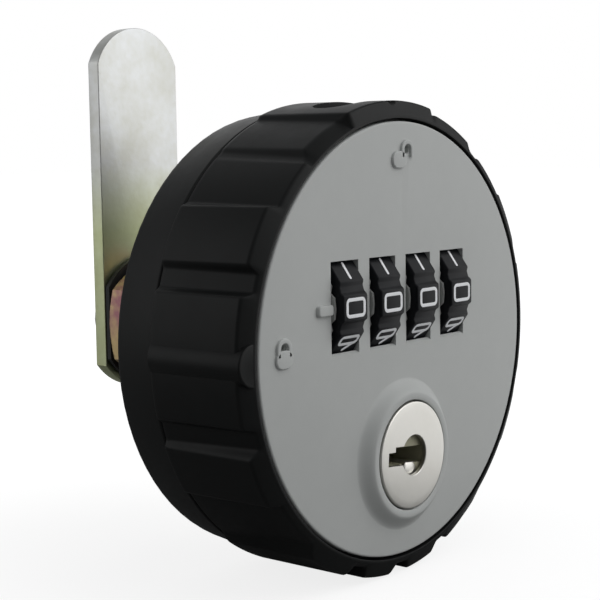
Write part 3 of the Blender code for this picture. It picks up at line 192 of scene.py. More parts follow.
def mottle_effect():
    """Two tones and two roughnesses mixed by broad noise with a little fine noise on it."""
    tree, source, target = effect(
        "mottle",
        [("Vector", "NodeSocketVector", None), ("Scale", "NodeSocketFloat", 300.0),
         ("Contrast", "NodeSocketFloat", 2.0),
         ("Tone A", "NodeSocketColor", None), ("Tone B", "NodeSocketColor", None),
         ("Roughness A", "NodeSocketFloat", 0.4), ("Roughness B", "NodeSocketFloat", 0.5)],
        [("Color", "NodeSocketColor"), ("Roughness", "NodeSocketFloat"), ("Mask", "NodeSocketFloat")])
    link = tree.links.new
    broad = noise(tree, source.outputs["Vector"], source.outputs["Scale"], 3.0)
    fine = noise(tree, source.outputs["Vector"], source.outputs["Scale"], 2.0, 6.0)
    both = tree.nodes.new("ShaderNodeMix")
    both.data_type = "FLOAT"
    both.inputs["Factor"].default_value = 0.3
    link(broad, both.inputs["A"])
    link(fine, both.inputs["B"])
    centred = tree.nodes.new("ShaderNodeMath")
    centred.operation = "SUBTRACT"
    centred.inputs[1].default_value = 0.5
    link(both.outputs["Result"], centred.inputs[0])
    spread = tree.nodes.new("ShaderNodeMath")
    spread.operation = "MULTIPLY_ADD"
    spread.inputs[2].default_value = 0.5
    spread.use_clamp = True
    link(centred.outputs[0], spread.inputs[0])
    link(source.outputs["Contrast"], spread.inputs[1])
    tone = tree.nodes.new("ShaderNodeMix")
    tone.data_type = "RGBA"
    link(spread.outputs[0], tone.inputs["Factor"])
    link(source.outputs["Tone A"], tone.inputs["A"])
    link(source.outputs["Tone B"], tone.inputs["B"])
    rough = tree.nodes.new("ShaderNodeMix")
    rough.data_type = "FLOAT"
    link(spread.outputs[0], rough.inputs["Factor"])
    link(source.outputs["Roughness A"], rough.inputs["A"])
    link(source.outputs["Roughness B"], rough.inputs["B"])
    link(tone.outputs["Result"], target.inputs["Color"])
    link(rough.outputs["Result"], target.inputs["Roughness"])
    link(spread.outputs[0], target.inputs["Mask"])
    return tree


def grain_effect():
    """Height of a fine surface texture: noise stretched by Stretch along X, Y and Z."""
    tree, source, target = effect(
        "grain",
        [("Vector", "NodeSocketVector", None), ("Scale", "NodeSocketFloat", 4000.0),
         ("Stretch", "NodeSocketVector", (1.0, 1.0, 1.0))],
        [("Height", "NodeSocketFloat")])
    link = tree.links.new
    stretch = tree.nodes.new("ShaderNodeVectorMath")
    stretch.operation = "MULTIPLY"
    link(source.outputs["Vector"], stretch.inputs[0])
    link(source.outputs["Stretch"], stretch.inputs[1])
    link(noise(tree, stretch.outputs[0], source.outputs["Scale"], 2.0), target.inputs["Height"])
    return tree


mottle = mottle_effect()
grain = grain_effect()


def finish_of(name, tones, rough, mottle_scale=300.0, contrast=2.0, grain_scale=4000.0,
              stretch=(1.0, 1.0, 1.0), bump=0.000012, metallic=0.0, specular=0.5):
    """Principled material whose colour and roughness come from mottle, and its bump from grain."""
    material = bpy.data.materials.new(name)
    material.use_nodes = True
    tree = material.node_tree
    shader = tree.nodes["Principled BSDF"]
    shader.inputs["Metallic"].default_value = metallic
    shader.inputs["Specular IOR Level"].default_value = specular
    place = tree.nodes.new("ShaderNodeTexCoord")
    tone = tree.nodes.new("ShaderNodeGroup")
    tone.node_tree = mottle
    tone.inputs["Scale"].default_value = mottle_scale
    tone.inputs["Contrast"].default_value = contrast
    tone.inputs["Tone A"].default_value = (*tones[0], 1.0)
    tone.inputs["Tone B"].default_value = (*tones[1], 1.0)
    tone.inputs["Roughness A"].default_value = rough[0]
    tone.inputs["Roughness B"].default_value = rough[1]
    tree.links.new(place.outputs["Object"], tone.inputs["Vector"])
    tree.links.new(tone.outputs["Color"], shader.inputs["Base Color"])
    tree.links.new(tone.outputs["Roughness"], shader.inputs["Roughness"])
    fine = tree.nodes.new("ShaderNodeGroup")
    fine.node_tree = grain
    fine.inputs["Scale"].default_value = grain_scale
    fine.inputs["Stretch"].default_value = stretch
    tree.links.new(place.outputs["Object"], fine.inputs["Vector"])
    raise_by = tree.nodes.new("ShaderNodeBump")
    raise_by.inputs["Distance"].default_value = bump
    raise_by.inputs["Strength"].default_value = 1.0
    tree.links.new(fine.outputs["Height"], raise_by.inputs["Height"])
    tree.links.new(raise_by.outputs["Normal"], shader.inputs["Normal"])
    return material


black_nylon = finish_of("black_nylon", ((0.0070, 0.0076, 0.0075), (0.0088, 0.0094, 0.0093)), (0.40, 0.50),
                        mottle_scale=220.0, grain_scale=5200.0, bump=0.000006, specular=0.15)

body_of = {node: body for body, nodes in frame["record"]["behaviour"]["bodies"].items() for node in nodes}


def fitted(piece, material, *nodes, sharp=30.0):
    """Gives a piece its material and body, shades it and lets it stand for the nodes."""
    piece.data.materials.clear()
    piece.data.materials.append(material)
    piece.data.shade_smooth()
    piece.data.set_sharp_from_angle(angle=math.radians(sharp))
    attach(piece, body_of[nodes[0]])
    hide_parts(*nodes)
    return piece


def merged_copy(node):
    """Copy of a node with its triangles merged into whole faces."""
    mesh = bpy.data.meshes.new(node + "_skin")
    bm = bmesh.new()
    bm.from_mesh(frame["nodes"][node].data)
    bmesh.ops.remove_doubles(bm, verts=bm.verts[:], dist=0.000001)
    bmesh.ops.dissolve_limit(bm, angle_limit=math.radians(0.3), verts=bm.verts[:], edges=bm.edges[:])
    bm.to_mesh(mesh)
    bm.free()
    if "custom_normal" in mesh.attributes:
        mesh.attributes.remove(mesh.attributes["custom_normal"])
    piece = bpy.data.objects.new(node + "_skin", mesh)
    bpy.context.scene.collection.objects.link(piece)
    return piece


fitted(merged_copy("back_base"), black_nylon, "back_base")


# Grip ring: one nylon moulding, turned by hand. Two-finger lobes at the top and sides, a lower
# land and waist between them, grooves across the lobes, and a web behind the face plate.
FACE_Y = -20.7                  # front of the face plate
SEAM_Y = FACE_Y + 13.8          # rear end of the ring's grip
WEB_Y = SEAM_Y + 0.8
WEB_BACK_Y = WEB_Y + 2.0
PLATE_RADIUS = 25.8


def eased(path, reach, steps=5):
    """Rounds the corners of closed paths shaped (..., k, 2): each corner P gives way to the curve
    (1-t)^2 A + 2t(1-t) P + t^2 B, with A and B at the corner's reach along its two sides."""
    t = np.linspace(0.0, 1.0, steps)[:, None]

    def towards(other):
        run = other - path
        length = np.maximum(np.linalg.norm(run, axis=-1, keepdims=True), 1e-9)
        return path + run / length * np.minimum(np.asarray(reach)[..., None], 0.48 * length)

    a = towards(np.roll(path, 1, axis=-2))[..., None, :]
    b = towards(np.roll(path, -1, axis=-2))[..., None, :]
    curve = (1 - t) ** 2 * a + 2 * t * (1 - t) * path[..., None, :] + t ** 2 * b
    return curve.reshape(*path.shape[:-2], -1, 2)


def sheet_faces(rows, columns, close_rows=False, close_columns=True, start=0):
    """Quads over a grid of points, joined end to end where a direction is closed."""
    i = np.arange(rows if close_rows else rows - 1)[:, None]
    j = np.arange(columns if close_columns else columns - 1)[None, :]
    i1, j1 = (i + 1) % rows, (j + 1) % columns
    quads = np.stack(np.broadcast_arrays(i * columns + j, i * columns + j1,
                                         i1 * columns + j1, i1 * columns + j), axis=-1)
    return (quads.reshape(-1, 4) + start).tolist()


def meshed(name, points, faces, merge=None):
    """Object from points in millimetres, with near points merged and normals turned outwards."""
    mesh = bpy.data.meshes.new(name)
    mesh.from_pydata((points * MM).tolist(), [], faces)
    bm = bmesh.new()
    bm.from_mesh(mesh)
    if merge:
        bmesh.ops.remove_doubles(bm, verts=bm.verts[:], dist=merge)
    bmesh.ops.recalc_face_normals(bm, faces=bm.faces[:])
    bm.to_mesh(mesh)
    bm.free()
    piece = bpy.data.objects.new(name, mesh)
    bpy.context.scene.collection.objects.link(piece)
    return piece


def surface(name, points, close_rows=False, close_columns=True, capped=False):
    """Object from a grid of points in millimetres. capped closes its first and last row."""
    rows, columns = points.shape[:2]
    faces = sheet_faces(rows, columns, close_rows, close_columns)
    if capped:
        faces += [list(range(columns)), list(range((rows - 1) * columns, rows * columns))]
    return meshed(name, points.reshape(-1, 3), faces, merge=0.0000004)


def around(r, y, a, centre=(0.0, 0.0)):
    """Points at radius r, depth y and angle a about an axis along Y: (r cos a, y, r sin a)."""
    r, y, a = np.broadcast_arrays(r, y, a)
    return np.stack((centre[0] + r * np.cos(a), y, centre[1] + r * np.sin(a)), axis=-1)


def spun(radii, depths, sides, centre=(0.0, 0.0)):
    """Points of a profile of radii and depths turned round an axis along Y."""
    a = np.linspace(0.0, 2 * np.pi, sides, endpoint=False)
    return around(np.asarray(radii, float)[:, None], np.asarray(depths, float)[:, None], a, centre)


def rod(name, radius, start, end, sides, centre=(0.0, 0.0)):
    """Round rod along Y."""
    return surface(name, spun([radius, radius], [start, end], sides, centre), capped=True)


def disc(name, radius, front, back, reach, sides, centre=(0.0, 0.0)):
    """Disc along Y whose front and back edges are rounded by the two lengths in reach."""
    corners = np.array([(0.01, front), (radius, front), (radius, back), (0.01, back)])
    profile = eased(corners, np.array([0.0, *reach, 0.0]))
    return surface(name, spun(profile[:, 0], profile[:, 1], sides, centre), capped=True)


def prism(name, outline, start, end, along=1):
    """Outline in two of the axes pushed along the third from start to end, closed at both ends."""
    outline = np.asarray(outline, float)
    rows = [np.insert(outline, along, place, axis=1) for place in (start, end)]
    return surface(name, np.stack(rows), capped=True)


def shaped(piece, joins=(), cuts=()):
    """Joins and cuts a piece exactly, and drops the pieces used for it."""
    for operation, others in (("UNION", joins), ("DIFFERENCE", cuts)):
        for other in others:
            change = piece.modifiers.new(other.name, "BOOLEAN")
            change.operation = operation
            change.solver = "EXACT"
            change.object = other
    whole = piece.evaluated_get(bpy.context.evaluated_depsgraph_get())
    mesh = bpy.data.meshes.new_from_object(whole)
    piece.modifiers.clear()
    piece.data = mesh
    for other in (*joins, *cuts):
        bpy.data.objects.remove(other)
    return piece


# Sizes of the grip by angle from 12 o'clock: radius in front, radius behind, depth of the chamfer.
top_lobe, side_lobe, right_lobe = (28.22, 28.33, 0.5), (28.38, 28.33, 0.9), (28.05, 28.2, 0.9)
land, right_land, channel = (27.45, 27.85, 1.9), (27.75, 27.9, 0.6), (26.95, 27.7, 1.2)
waist, groove = (27.2, 27.75, 0.4), (27.05, 27.75, 0.35)
half_groove, step = 2.6, 0.7    # in degrees: half a groove's width, and the run of its slopes


def grooved(middle):
    """Stations of a groove across a side lobe: the lobe's edges with the groove between them."""
    return [(middle - half_groove - step, side_lobe), (middle - half_groove, groove),
            (middle + half_groove, groove), (middle + half_groove + step, side_lobe)]


stations = ([(0.0, top_lobe), (17.6 - step, top_lobe), (17.6 + step, land), (35.3 - step, land),
             (35.3 + step, channel), (38.5 - step, channel), (38.5, waist), (52.9, waist),
             (52.9 + step, side_lobe)] + grooved(71.4) + grooved(107.6)
            + [(125.2 - step, side_lobe), (125.2, waist), (141.5, waist), (144.7, side_lobe)]
            + grooved(162.4) + [(180.0 - half_groove - step, side_lobe), (180.0 - half_groove, groove),
                                (180.0, groove)])
columns = 1200
turn = np.linspace(-180.0, 180.0, columns, endpoint=False)
at = np.array([angle for angle, _ in stations])
sizes = np.array([size for _, size in stations])
soft = np.hanning(9)[1:-1]
soft = soft / soft.sum()


def grip_size(k):
    """Size k round the ring, straight between stations and then averaged over about a degree
    each way. The top lobe sits 2.4 degrees to the left. On the right the land stands higher with
    less of a chamfer, and the lobes are lower."""
    placed = turn + np.interp(turn, (-36.0, -15.2, 20.0, 34.0), (0.0, -2.4, -2.4, 0.0))
    raw = np.interp(np.abs(placed), at, sizes[:, k])
    on_right = np.interp(-placed, (17.6, 19.0, 33.5, 35.3), (0.0, 1.0, 1.0, 0.0))
    raw = raw + (right_land[k] - raw) * on_right
    lowered = np.clip((side_lobe[k] - raw) / (side_lobe[k] - groove[k]), 0.0, 1.0)
    on_right = np.interp(-turn, (45.0, 55.0, 150.0, 165.0), (0.0, 1.0, 1.0, 0.0))
    raw = raw + (right_lobe[k] - side_lobe[k]) * on_right * (1.0 - lowered)
    return sum(weight * np.roll(raw, shift - len(soft) // 2) for shift, weight in enumerate(soft))


front_r, rear_r, chamfer = grip_size(0), grip_size(1), grip_size(2)
shelf_y, wall_r, rear_wall_r = FACE_Y + 1.8, 24.4, 25.05
lip_in, lip_out = PLATE_RADIUS + 0.35, PLATE_RADIUS + 0.65
even = np.ones(columns)
section = np.stack([np.stack((r * even, y * even), axis=-1) for r, y in (
    (wall_r, WEB_Y), (wall_r, shelf_y), (lip_in, shelf_y), (lip_in, FACE_Y), (lip_out, FACE_Y),
    (front_r, FACE_Y + chamfer), (rear_r, SEAM_Y - 0.4), (rear_r - 0.05, SEAM_Y),
    (rear_wall_r, SEAM_Y), (rear_wall_r, WEB_BACK_Y))], axis=1)
section = eased(section, np.array([0, 0, 0, 0.08, 0.08, 0.35, 0.15, 0.12, 0, 0.0]))
ring_points = around(section[..., 0], section[..., 1], np.radians(90.0 + turn)[:, None])
ring = surface("grip_ring_body", np.swapaxes(ring_points, 0, 1), capped=True)

# The pointer rib stands out of the side lobe at 9 o'clock. What would reach inside is cut off.
RIB_RADIUS, RIB_RISE = 2.4, 0.45
rib_x = -(side_lobe[0] + RIB_RISE - RIB_RADIUS)
rib = disc("rib", RIB_RADIUS, FACE_Y + 0.05, SEAM_Y - 0.1, (0.25, 0.1), 64, (rib_x, 0.0))
rib = shaped(rib, cuts=[rod("trim", 26.3, FACE_Y - 1, WEB_Y, 240)])


def oblong(width, height, corner, centre=(0.0, 0.0), steps=9):
    """Rectangle with round corners in (x, z), from the right side's upper end round to the left."""
    a = np.radians(np.arange(4)[:, None] * 90.0 + np.linspace(0.0, 90.0, steps)[None, :])
    sx = np.array([1, -1, -1, 1])[:, None]
    sz = np.array([1, 1, -1, -1])[:, None]
    x = centre[0] + sx * (width / 2 - corner) + corner * np.cos(a)
    z = centre[1] + sz * (height / 2 - corner) + corner * np.sin(a)
    return np.stack((x.ravel(), z.ravel()), axis=-1)


# The top lobe has a shallow oblong hole and a small notch in its front edge, both a little to the
# left of the lock's middle.
HOLE_X, HOLE_Y, HOLE_DEPTH, NOTCH_X, NOTCH_RADIUS = -0.8, FACE_Y + 6.2, 2.2, -1.1, 0.85
hole = prism("hole", oblong(12.4, 5.6, 2.75, (HOLE_X, HOLE_Y), 16), 28.3 - HOLE_DEPTH, 30.0, along=2)
notch = rod("notch", NOTCH_RADIUS, FACE_Y - 1, FACE_Y + 2.2, 24, (NOTCH_X, 28.45))


def web_slot(name, start, near, far, half):
    """Slot along a path whose radius grows evenly over a quarter turn, with round ends."""
    share = np.linspace(0.0, 1.0, 40)
    a = np.radians(start + 90.0 * share)
    r = near + (far - near) * share
    cap = np.linspace(0.0, np.pi, 12)[1:-1]

    def arc(radius, angle):
        return np.stack((radius * np.cos(angle), radius * np.sin(angle)), axis=-1)

    end = arc(r[-1], a[-1]) + arc(half, a[-1] + cap)
    begin = arc(r[0], a[0]) + arc(half, a[0] + np.pi + cap)
    outline = np.concatenate((arc(r + half, a), end, arc(r - half, a)[::-1], begin))
    return prism(name, outline, WEB_Y - 1, WEB_BACK_Y + 1)


# Three slots for the pillars, a spiral one for the comb's peg and the spindle's square hole.
PILLAR_CIRCLE, PILLAR_SLOT_HALF = 19.5, 3.25
PEG_START, PEG_END, PEG_SLOT_HALF = 9.0, 10.25, 1.55
slots = [web_slot("pillar_slot", start, PILLAR_CIRCLE, PILLAR_CIRCLE, PILLAR_SLOT_HALF)
         for start in (90.0, 210.0, 330.0)]
slots.append(web_slot("peg_slot", 0.0, PEG_START, PEG_END, PEG_SLOT_HALF))
square = prism("square", oblong(7.6, 7.6, 0.1, steps=2), WEB_Y - 1, WEB_BACK_Y + 1)
shaped(ring, joins=[rib], cuts=[hole, notch, square, *slots])
fitted(ring, black_nylon, "grip_ring", sharp=28.0)

# The rear case meets the ring with a fine bevelled edge, which shows as a thin lighter line.
edge_r = [26.6, 27.52, 27.7, 27.77, 27.77, 26.6]
edge_y = [SEAM_Y + depth for depth in (0.04, 0.04, 0.1, 0.22, 0.4, 0.4)]
case_edge = surface("case_edge", spun(edge_r, edge_y, 240), close_rows=True)
fitted(case_edge, black_nylon, "back_base", sharp=60.0)


# Face plate: grey moulded disc, screwed to the case. Four windows, a soft mound round the key
# cylinder, an index bar beside the windows and the two padlock signs, all in one moulding.
grey_plastic = finish_of("grey_plastic", ((0.50, 0.514, 0.503), (0.54, 0.553, 0.541)), (0.45, 0.55),
                         mottle_scale=90.0, grain_scale=4200.0, bump=0.000005, specular=0.35)
ROW_X, PITCH, AXLE_Y, WHEEL_Z = -0.3, 7.1, FACE_Y + 5.6, 4.9
WINDOW_WIDTH, WINDOW_HEIGHT, WINDOW_Z, SILL, SCOOP = 5.04, 10.7, 4.8, 0.26, 7.34
window_left = ROW_X + (np.arange(4) - 1.5) * PITCH - WINDOW_WIDTH / 2
KEY_Z = -13.7
plate = disc("face_plate_disc", PLATE_RADIUS, FACE_Y, FACE_Y + 1.5, (0.3, 0.05), 240)


def window_cutter(left):
    """Window seen from the side: straight in front with a sloped sill, and scooped behind to
    clear the wheel."""
    low, high = WINDOW_Z - WINDOW_HEIGHT / 2, WINDOW_Z + WINDOW_HEIGHT / 2
    behind = np.arccos((AXLE_Y - FACE_Y - 2.5) / SCOOP)
    upper = np.linspace(np.arcsin((high - WHEEL_Z) / SCOOP), behind, 8)
    lower = np.linspace(behind, np.arcsin((WHEEL_Z - low - SILL) / SCOOP), 8)
    side = [(FACE_Y, low), (FACE_Y - 2.0, low), (FACE_Y - 2.0, high)]
    side += zip(AXLE_Y - SCOOP * np.cos(upper), WHEEL_Z + SCOOP * np.sin(upper))
    side += zip(AXLE_Y - SCOOP * np.cos(lower), WHEEL_Z - SCOOP * np.sin(lower))
    return prism("window", side, left, left + WINDOW_WIDTH, along=0)


# The signs' places, and how far each shackle stands to the right of its padlock.
signs = {"closed": ((-21.8, 0.15), 0.0), "open": ((-0.55, 21.3), 1.55)}
key_hole = rod("key_hole", 6.7, FACE_Y - 3, FACE_Y + 3, 96, (0.0, KEY_Z))
pockets = [prism("pocket", oblong(1.15, 1.1, 0.5, (x + shift, z + 1.25)), FACE_Y - 1, FACE_Y + 0.9)
           for (x, z), shift in signs.values()]
shaped(plate, cuts=[window_cutter(left) for left in window_left] + [key_hole] + pockets)
fitted(plate, grey_plastic, "face_plate", sharp=35.0)

# The mound rises as half a cosine wave from its foot to its crest, and falls steeply inside.
CREST_RADIUS, FOOT_RADIUS, MOUND_RISE = 7.35, 9.25, 1.4
climb = np.linspace(0.0, 1.0, 24)
mound_r = CREST_RADIUS + (FOOT_RADIUS - CREST_RADIUS) * climb
mound_y = FACE_Y + 0.012 - MOUND_RISE * (1.0 + np.cos(np.pi * climb ** 0.85)) / 2
mound_r = np.concatenate(([6.58, 6.58, 6.64, 6.78], mound_r, [FOOT_RADIUS]))
mound_y = np.concatenate((FACE_Y + np.array([0.8, -1.2, -1.34, -1.385]), mound_y, [FACE_Y + 0.8]))
mound = surface("key_mound", spun(mound_r, mound_y, 160, (0.0, KEY_Z)), close_rows=True)
fitted(mound, grey_plastic, "face_plate")

ROOT = 0.3    # how deep a raised mark is set into the plate


def pillow(name, outline, rise, roll):
    """Raised mark: its outline drawn in by roll (1 - cos a) as it climbs roll sin a to its top."""
    outline = np.asarray(outline, float)
    centre = outline.mean(axis=0)
    a = np.linspace(0.0, np.pi / 2, 7)
    span = np.abs(outline - centre).max()
    shrink = 1.0 - roll * (1.0 - np.cos(a)) / span
    heights = np.concatenate(([-ROOT], rise - roll + roll * np.sin(a)))
    scales = np.concatenate(([1.0], shrink))
    rows = [np.insert(centre + (outline - centre) * scale, 1, FACE_Y - height, axis=1)
            for scale, height in zip(scales, heights)]
    return surface(name, np.stack(rows), capped=True)


def bent_bar(name, path, half, rise, roll):
    """Bar of even width along a path in (x, z), flat on top with quarter-round edges."""
    path = np.asarray(path, float)
    run = np.gradient(path, axis=0)
    side = np.stack((-run[:, 1], run[:, 0]), axis=-1) / np.linalg.norm(run, axis=-1, keepdims=True)
    a = np.linspace(0.0, np.pi / 2, 5)
    edge = half - roll * (1 - np.cos(a))
    top = rise - roll + roll * np.sin(a)
    across = np.concatenate(([-half], -edge, edge[::-1], [half]))
    heights = np.concatenate(([-ROOT], top, top[::-1], [-ROOT]))
    flat = path[:, None, :] + side[:, None, :] * across[None, :, None]
    depth = np.broadcast_to(FACE_Y - heights, flat.shape[:2])
    return surface(name, np.stack((flat[..., 0], depth, flat[..., 1]), axis=-1), capped=True)


index = pillow("index_bar", oblong(2.6, 1.2, 0.35, (window_left[0] - 1.3, WINDOW_Z)), 0.48, 0.2)
fitted(index, grey_plastic, "face_plate")
for sign, ((x, z), shift) in signs.items():
    blob = pillow(f"{sign}_lock_body", oblong(2.75, 2.0, 0.97, (x, z)), 0.32, 0.16)
    fitted(blob, grey_plastic, "face_plate")
    over = oblong(1.84, 2.3, 0.86, (x + shift, z + 0.9), 12)[:24]
    loop = np.concatenate(([(x + shift + 0.92, z + 0.3)], over, [(x + shift - 0.92, z + 0.3)]))
    fitted(bent_bar(f"{sign}_lock_bow", loop, 0.27, 0.32, 0.12), grey_plastic, "face_plate")


# Number wheels: black moulded rings with ten flat pads and a white printed digit on each. They
# run on grey sleeves, whose notched disc shows at the left of each wheel.
wheel_black = finish_of("wheel_black", ((0.0050, 0.0056, 0.0072), (0.0072, 0.0079, 0.0098)), (0.38, 0.5),
                        mottle_scale=600.0, grain_scale=5200.0, bump=0.000006, specular=0.14)
digit_white = finish_of("digit_white", ((0.90, 0.91, 0.93), (0.95, 0.96, 0.98)), (0.4, 0.5),
                        mottle_scale=900.0, grain_scale=6000.0, bump=0.000004)
PAD_RADIUS, PAD_HALF, BAND_RADIUS, PAD_STEP = 7.0, 1.42, 6.8, 36.0
WHEEL_HALF, WHEEL_EDGE, WHEEL_BORE, SIDE_GAP = 4.45 / 2, 0.2, 2.6, 0.08
pad_corner = math.degrees(math.atan2(PAD_HALF, PAD_RADIUS))
pad_turns = np.arange(10)[:, None] * PAD_STEP + np.array([-15.1, -pad_corner, pad_corner, 15.1])
corner_r = math.hypot(PAD_RADIUS, PAD_HALF)
pad_radii = np.tile((BAND_RADIUS, corner_r, corner_r, BAND_RADIUS), 10)
pad_angle = np.radians(pad_turns.ravel())
wheel_outline = np.stack((-pad_radii * np.cos(pad_angle), pad_radii * np.sin(pad_angle)), axis=-1)
wheel_outline = eased(wheel_outline, np.tile((0.12, 0.14, 0.14, 0.12), 10), 4)
edge_turn = np.linspace(0.0, np.pi / 2, 4)
shoulder = WHEEL_HALF - WHEEL_EDGE * (1 - np.cos(edge_turn))
drawn_in = WHEEL_EDGE * (1 - np.sin(edge_turn))
wheel_x = np.concatenate((-shoulder, shoulder[::-1], [WHEEL_HALF, -WHEEL_HALF]))
wheel_in = np.concatenate((drawn_in, drawn_in[::-1]))


def wheel_surface(name, middle):
    """Rows across the wheel: the outline drawn in at both rounded sides, then the bore."""
    unit = wheel_outline / np.linalg.norm(wheel_outline, axis=-1, keepdims=True)
    rows = [wheel_outline - unit * inward for inward in wheel_in] + [unit * WHEEL_BORE] * 2
    rows = np.stack(rows)
    x = np.broadcast_to((middle + wheel_x)[:, None], rows.shape[:2])
    points = np.stack((x, rows[..., 0] + AXLE_Y, rows[..., 1] + WHEEL_Z), axis=-1)
    return surface(name, points, close_rows=True)


W, H = 1.56, 0.93               # half the width and height of a digit, between stroke middles
STROKE_HALF = 0.21
box_path = oblong(2 * W, 2 * H, 0.42, steps=7)


def line(*corners, reach=0.45):
    """Open path with rounded corners."""
    corners = np.array(corners, float)
    reaches = np.full(len(corners), reach)
    reaches[[0, -1]] = 0.0
    return eased(corners, reaches, 7)


nine = [oblong(2 * W, 1.02, 0.38, (0.0, 0.42), 7), line((W, 0.45), (W, 0.2), (-0.25, -H))]
DIGITS = {
    0: [box_path],
    1: [line((0.0, -H), (0.0, H))],
    2: [line((-W, H), (W, H), (W, 0.0), (-W, 0.0), (-W, -H), (W, -H))],
    3: [line((-W, H), (W, H), (W, -H), (-W, -H)), line((-0.6 * W, 0.0), (W, 0.0))],
    4: [line((0.55 * W, -H), (0.55 * W, H), (-W, -0.4 * H), (W, -0.4 * H), reach=0.12)],
    5: [line((W, H), (-W, H), (-W, 0.06), (W, 0.06), (W, -H), (-W, -H))],
    6: [-path for path in nine],
    7: [line((-W, H), (W, H), (-0.3 * W, -H), reach=0.25)],
    8: [box_path, line((-W, 0.0), (W, 0.0))],
    9: nine,
}
CLOSED = {(0, 0), (8, 0), (9, 0), (6, 0)}    # digit and place in its list of the closed paths


def stroke(path, closed):
    """Printed stroke: at each point of its path a low dome, 0.03 high at the middle, across the
    path. Round ends are half circles of the same width."""
    if closed:
        run = np.roll(path, -1, axis=0) - np.roll(path, 1, axis=0)
    else:
        keep = np.concatenate(([True], np.linalg.norm(np.diff(path, axis=0), axis=-1) > 1e-5))
        path = path[keep]
        run = np.gradient(path, axis=0)
    run = run / np.linalg.norm(run, axis=-1, keepdims=True)
    side = np.stack((-run[:, 1], run[:, 0]), axis=-1)
    width = np.full(len(path), STROKE_HALF)
    if not closed:
        a = np.linspace(0.0, np.pi / 2, 5)[:-1]
        path = np.concatenate((path[0] - run[0] * STROKE_HALF * np.cos(a)[:, None], path,
                               path[-1] + run[-1] * STROKE_HALF * np.cos(a)[::-1, None]))
        side = np.concatenate((np.repeat(side[:1], 4, 0), side, np.repeat(side[-1:], 4, 0)))
        narrow = STROKE_HALF * np.sin(a) + 0.004
        width = np.concatenate((narrow, width, narrow[::-1]))
    across = np.array([-1.0, -0.92, 0.0, 0.92, 1.0])
    height = np.array([-0.03, 0.02, 0.03, 0.02, -0.03])
    flat = path[:, None, :] + side[:, None, :] * (width[:, None] * across)[..., None]
    return np.concatenate((flat, np.broadcast_to(height, flat.shape[:2])[..., None]), axis=-1)


def digit_points(middle, digit, points):
    """Points (across, up, height) set on the wheel's pad for that digit."""
    tilt = np.radians(PAD_STEP * digit)
    out = PAD_RADIUS + points[..., 2]
    up = points[..., 1]
    return np.stack((middle + points[..., 0], AXLE_Y - out * np.cos(tilt) + up * np.sin(tilt),
                     WHEEL_Z + out * np.sin(tilt) + up * np.cos(tilt)), axis=-1)


for number, left in enumerate(window_left, 1):
    middle = left + WINDOW_WIDTH - SIDE_GAP - WHEEL_HALF
    wheel = wheel_surface(f"number_wheel_{number}", middle)
    fitted(wheel, wheel_black, f"dial_wheel_{number}", sharp=32.0)
    verts, faces = [], []
    count = 0
    for digit, paths in DIGITS.items():
        for k, path in enumerate(paths):
            closed = (digit, k) in CLOSED
            points = digit_points(middle, digit, stroke(path, closed))
            n, m = points.shape[:2]
            verts.append(points.reshape(-1, 3))
            faces += sheet_faces(n, m, close_rows=closed, start=count)
            if not closed:
                faces += [list(range(count, count + m)), list(range(count + (n - 1) * m, count + n * m))]
            count += n * m
    digits = meshed(f"printed_digits_{number}", np.concatenate(verts), faces)
    digits.data.materials.append(digit_white)
    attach(digits, f"wheel_{number}")

sleeve_grey = finish_of("sleeve_grey", ((0.30, 0.305, 0.295), (0.36, 0.365, 0.355)), (0.45, 0.55),
                        mottle_scale=400.0, grain_scale=4200.0, bump=0.000006, specular=0.35)


def dressed(node, material):
    """Puts a material on a node whose solid is already right."""
    data = frame["nodes"][node].data
    data.materials.clear()
    data.materials.append(material)


for number in range(1, 5):
    dressed(f"code_sleeve_{number}", sleeve_grey)
dressed("wheel_carrier", black_nylon)


# Key cylinder: pressed cover of nickel-plated steel over a die-cast core. The keyhole is a round
# hole with a slot to the left, and a bright pin shows below the dark keyway.
nickel = finish_of("nickel", ((0.66, 0.648, 0.605), (0.72, 0.708, 0.67)), (0.30, 0.38),
                   mottle_scale=260.0, grain_scale=2600.0, bump=0.000003, metallic=1.0)
KEY_FRONT = FACE_Y - 1.5
KEY_TILT = math.radians(5.0)    # the key core stands turned a little, clockwise from the front
KEYHOLE_RADIUS, KEYHOLE_X = 2.4, 0.15
SLOT_LOW, SLOT_HIGH, SLOT_END_HIGH = -1.05, 1.15, 0.55
SLOT_STEP, SLOT_END = -3.6, -4.9


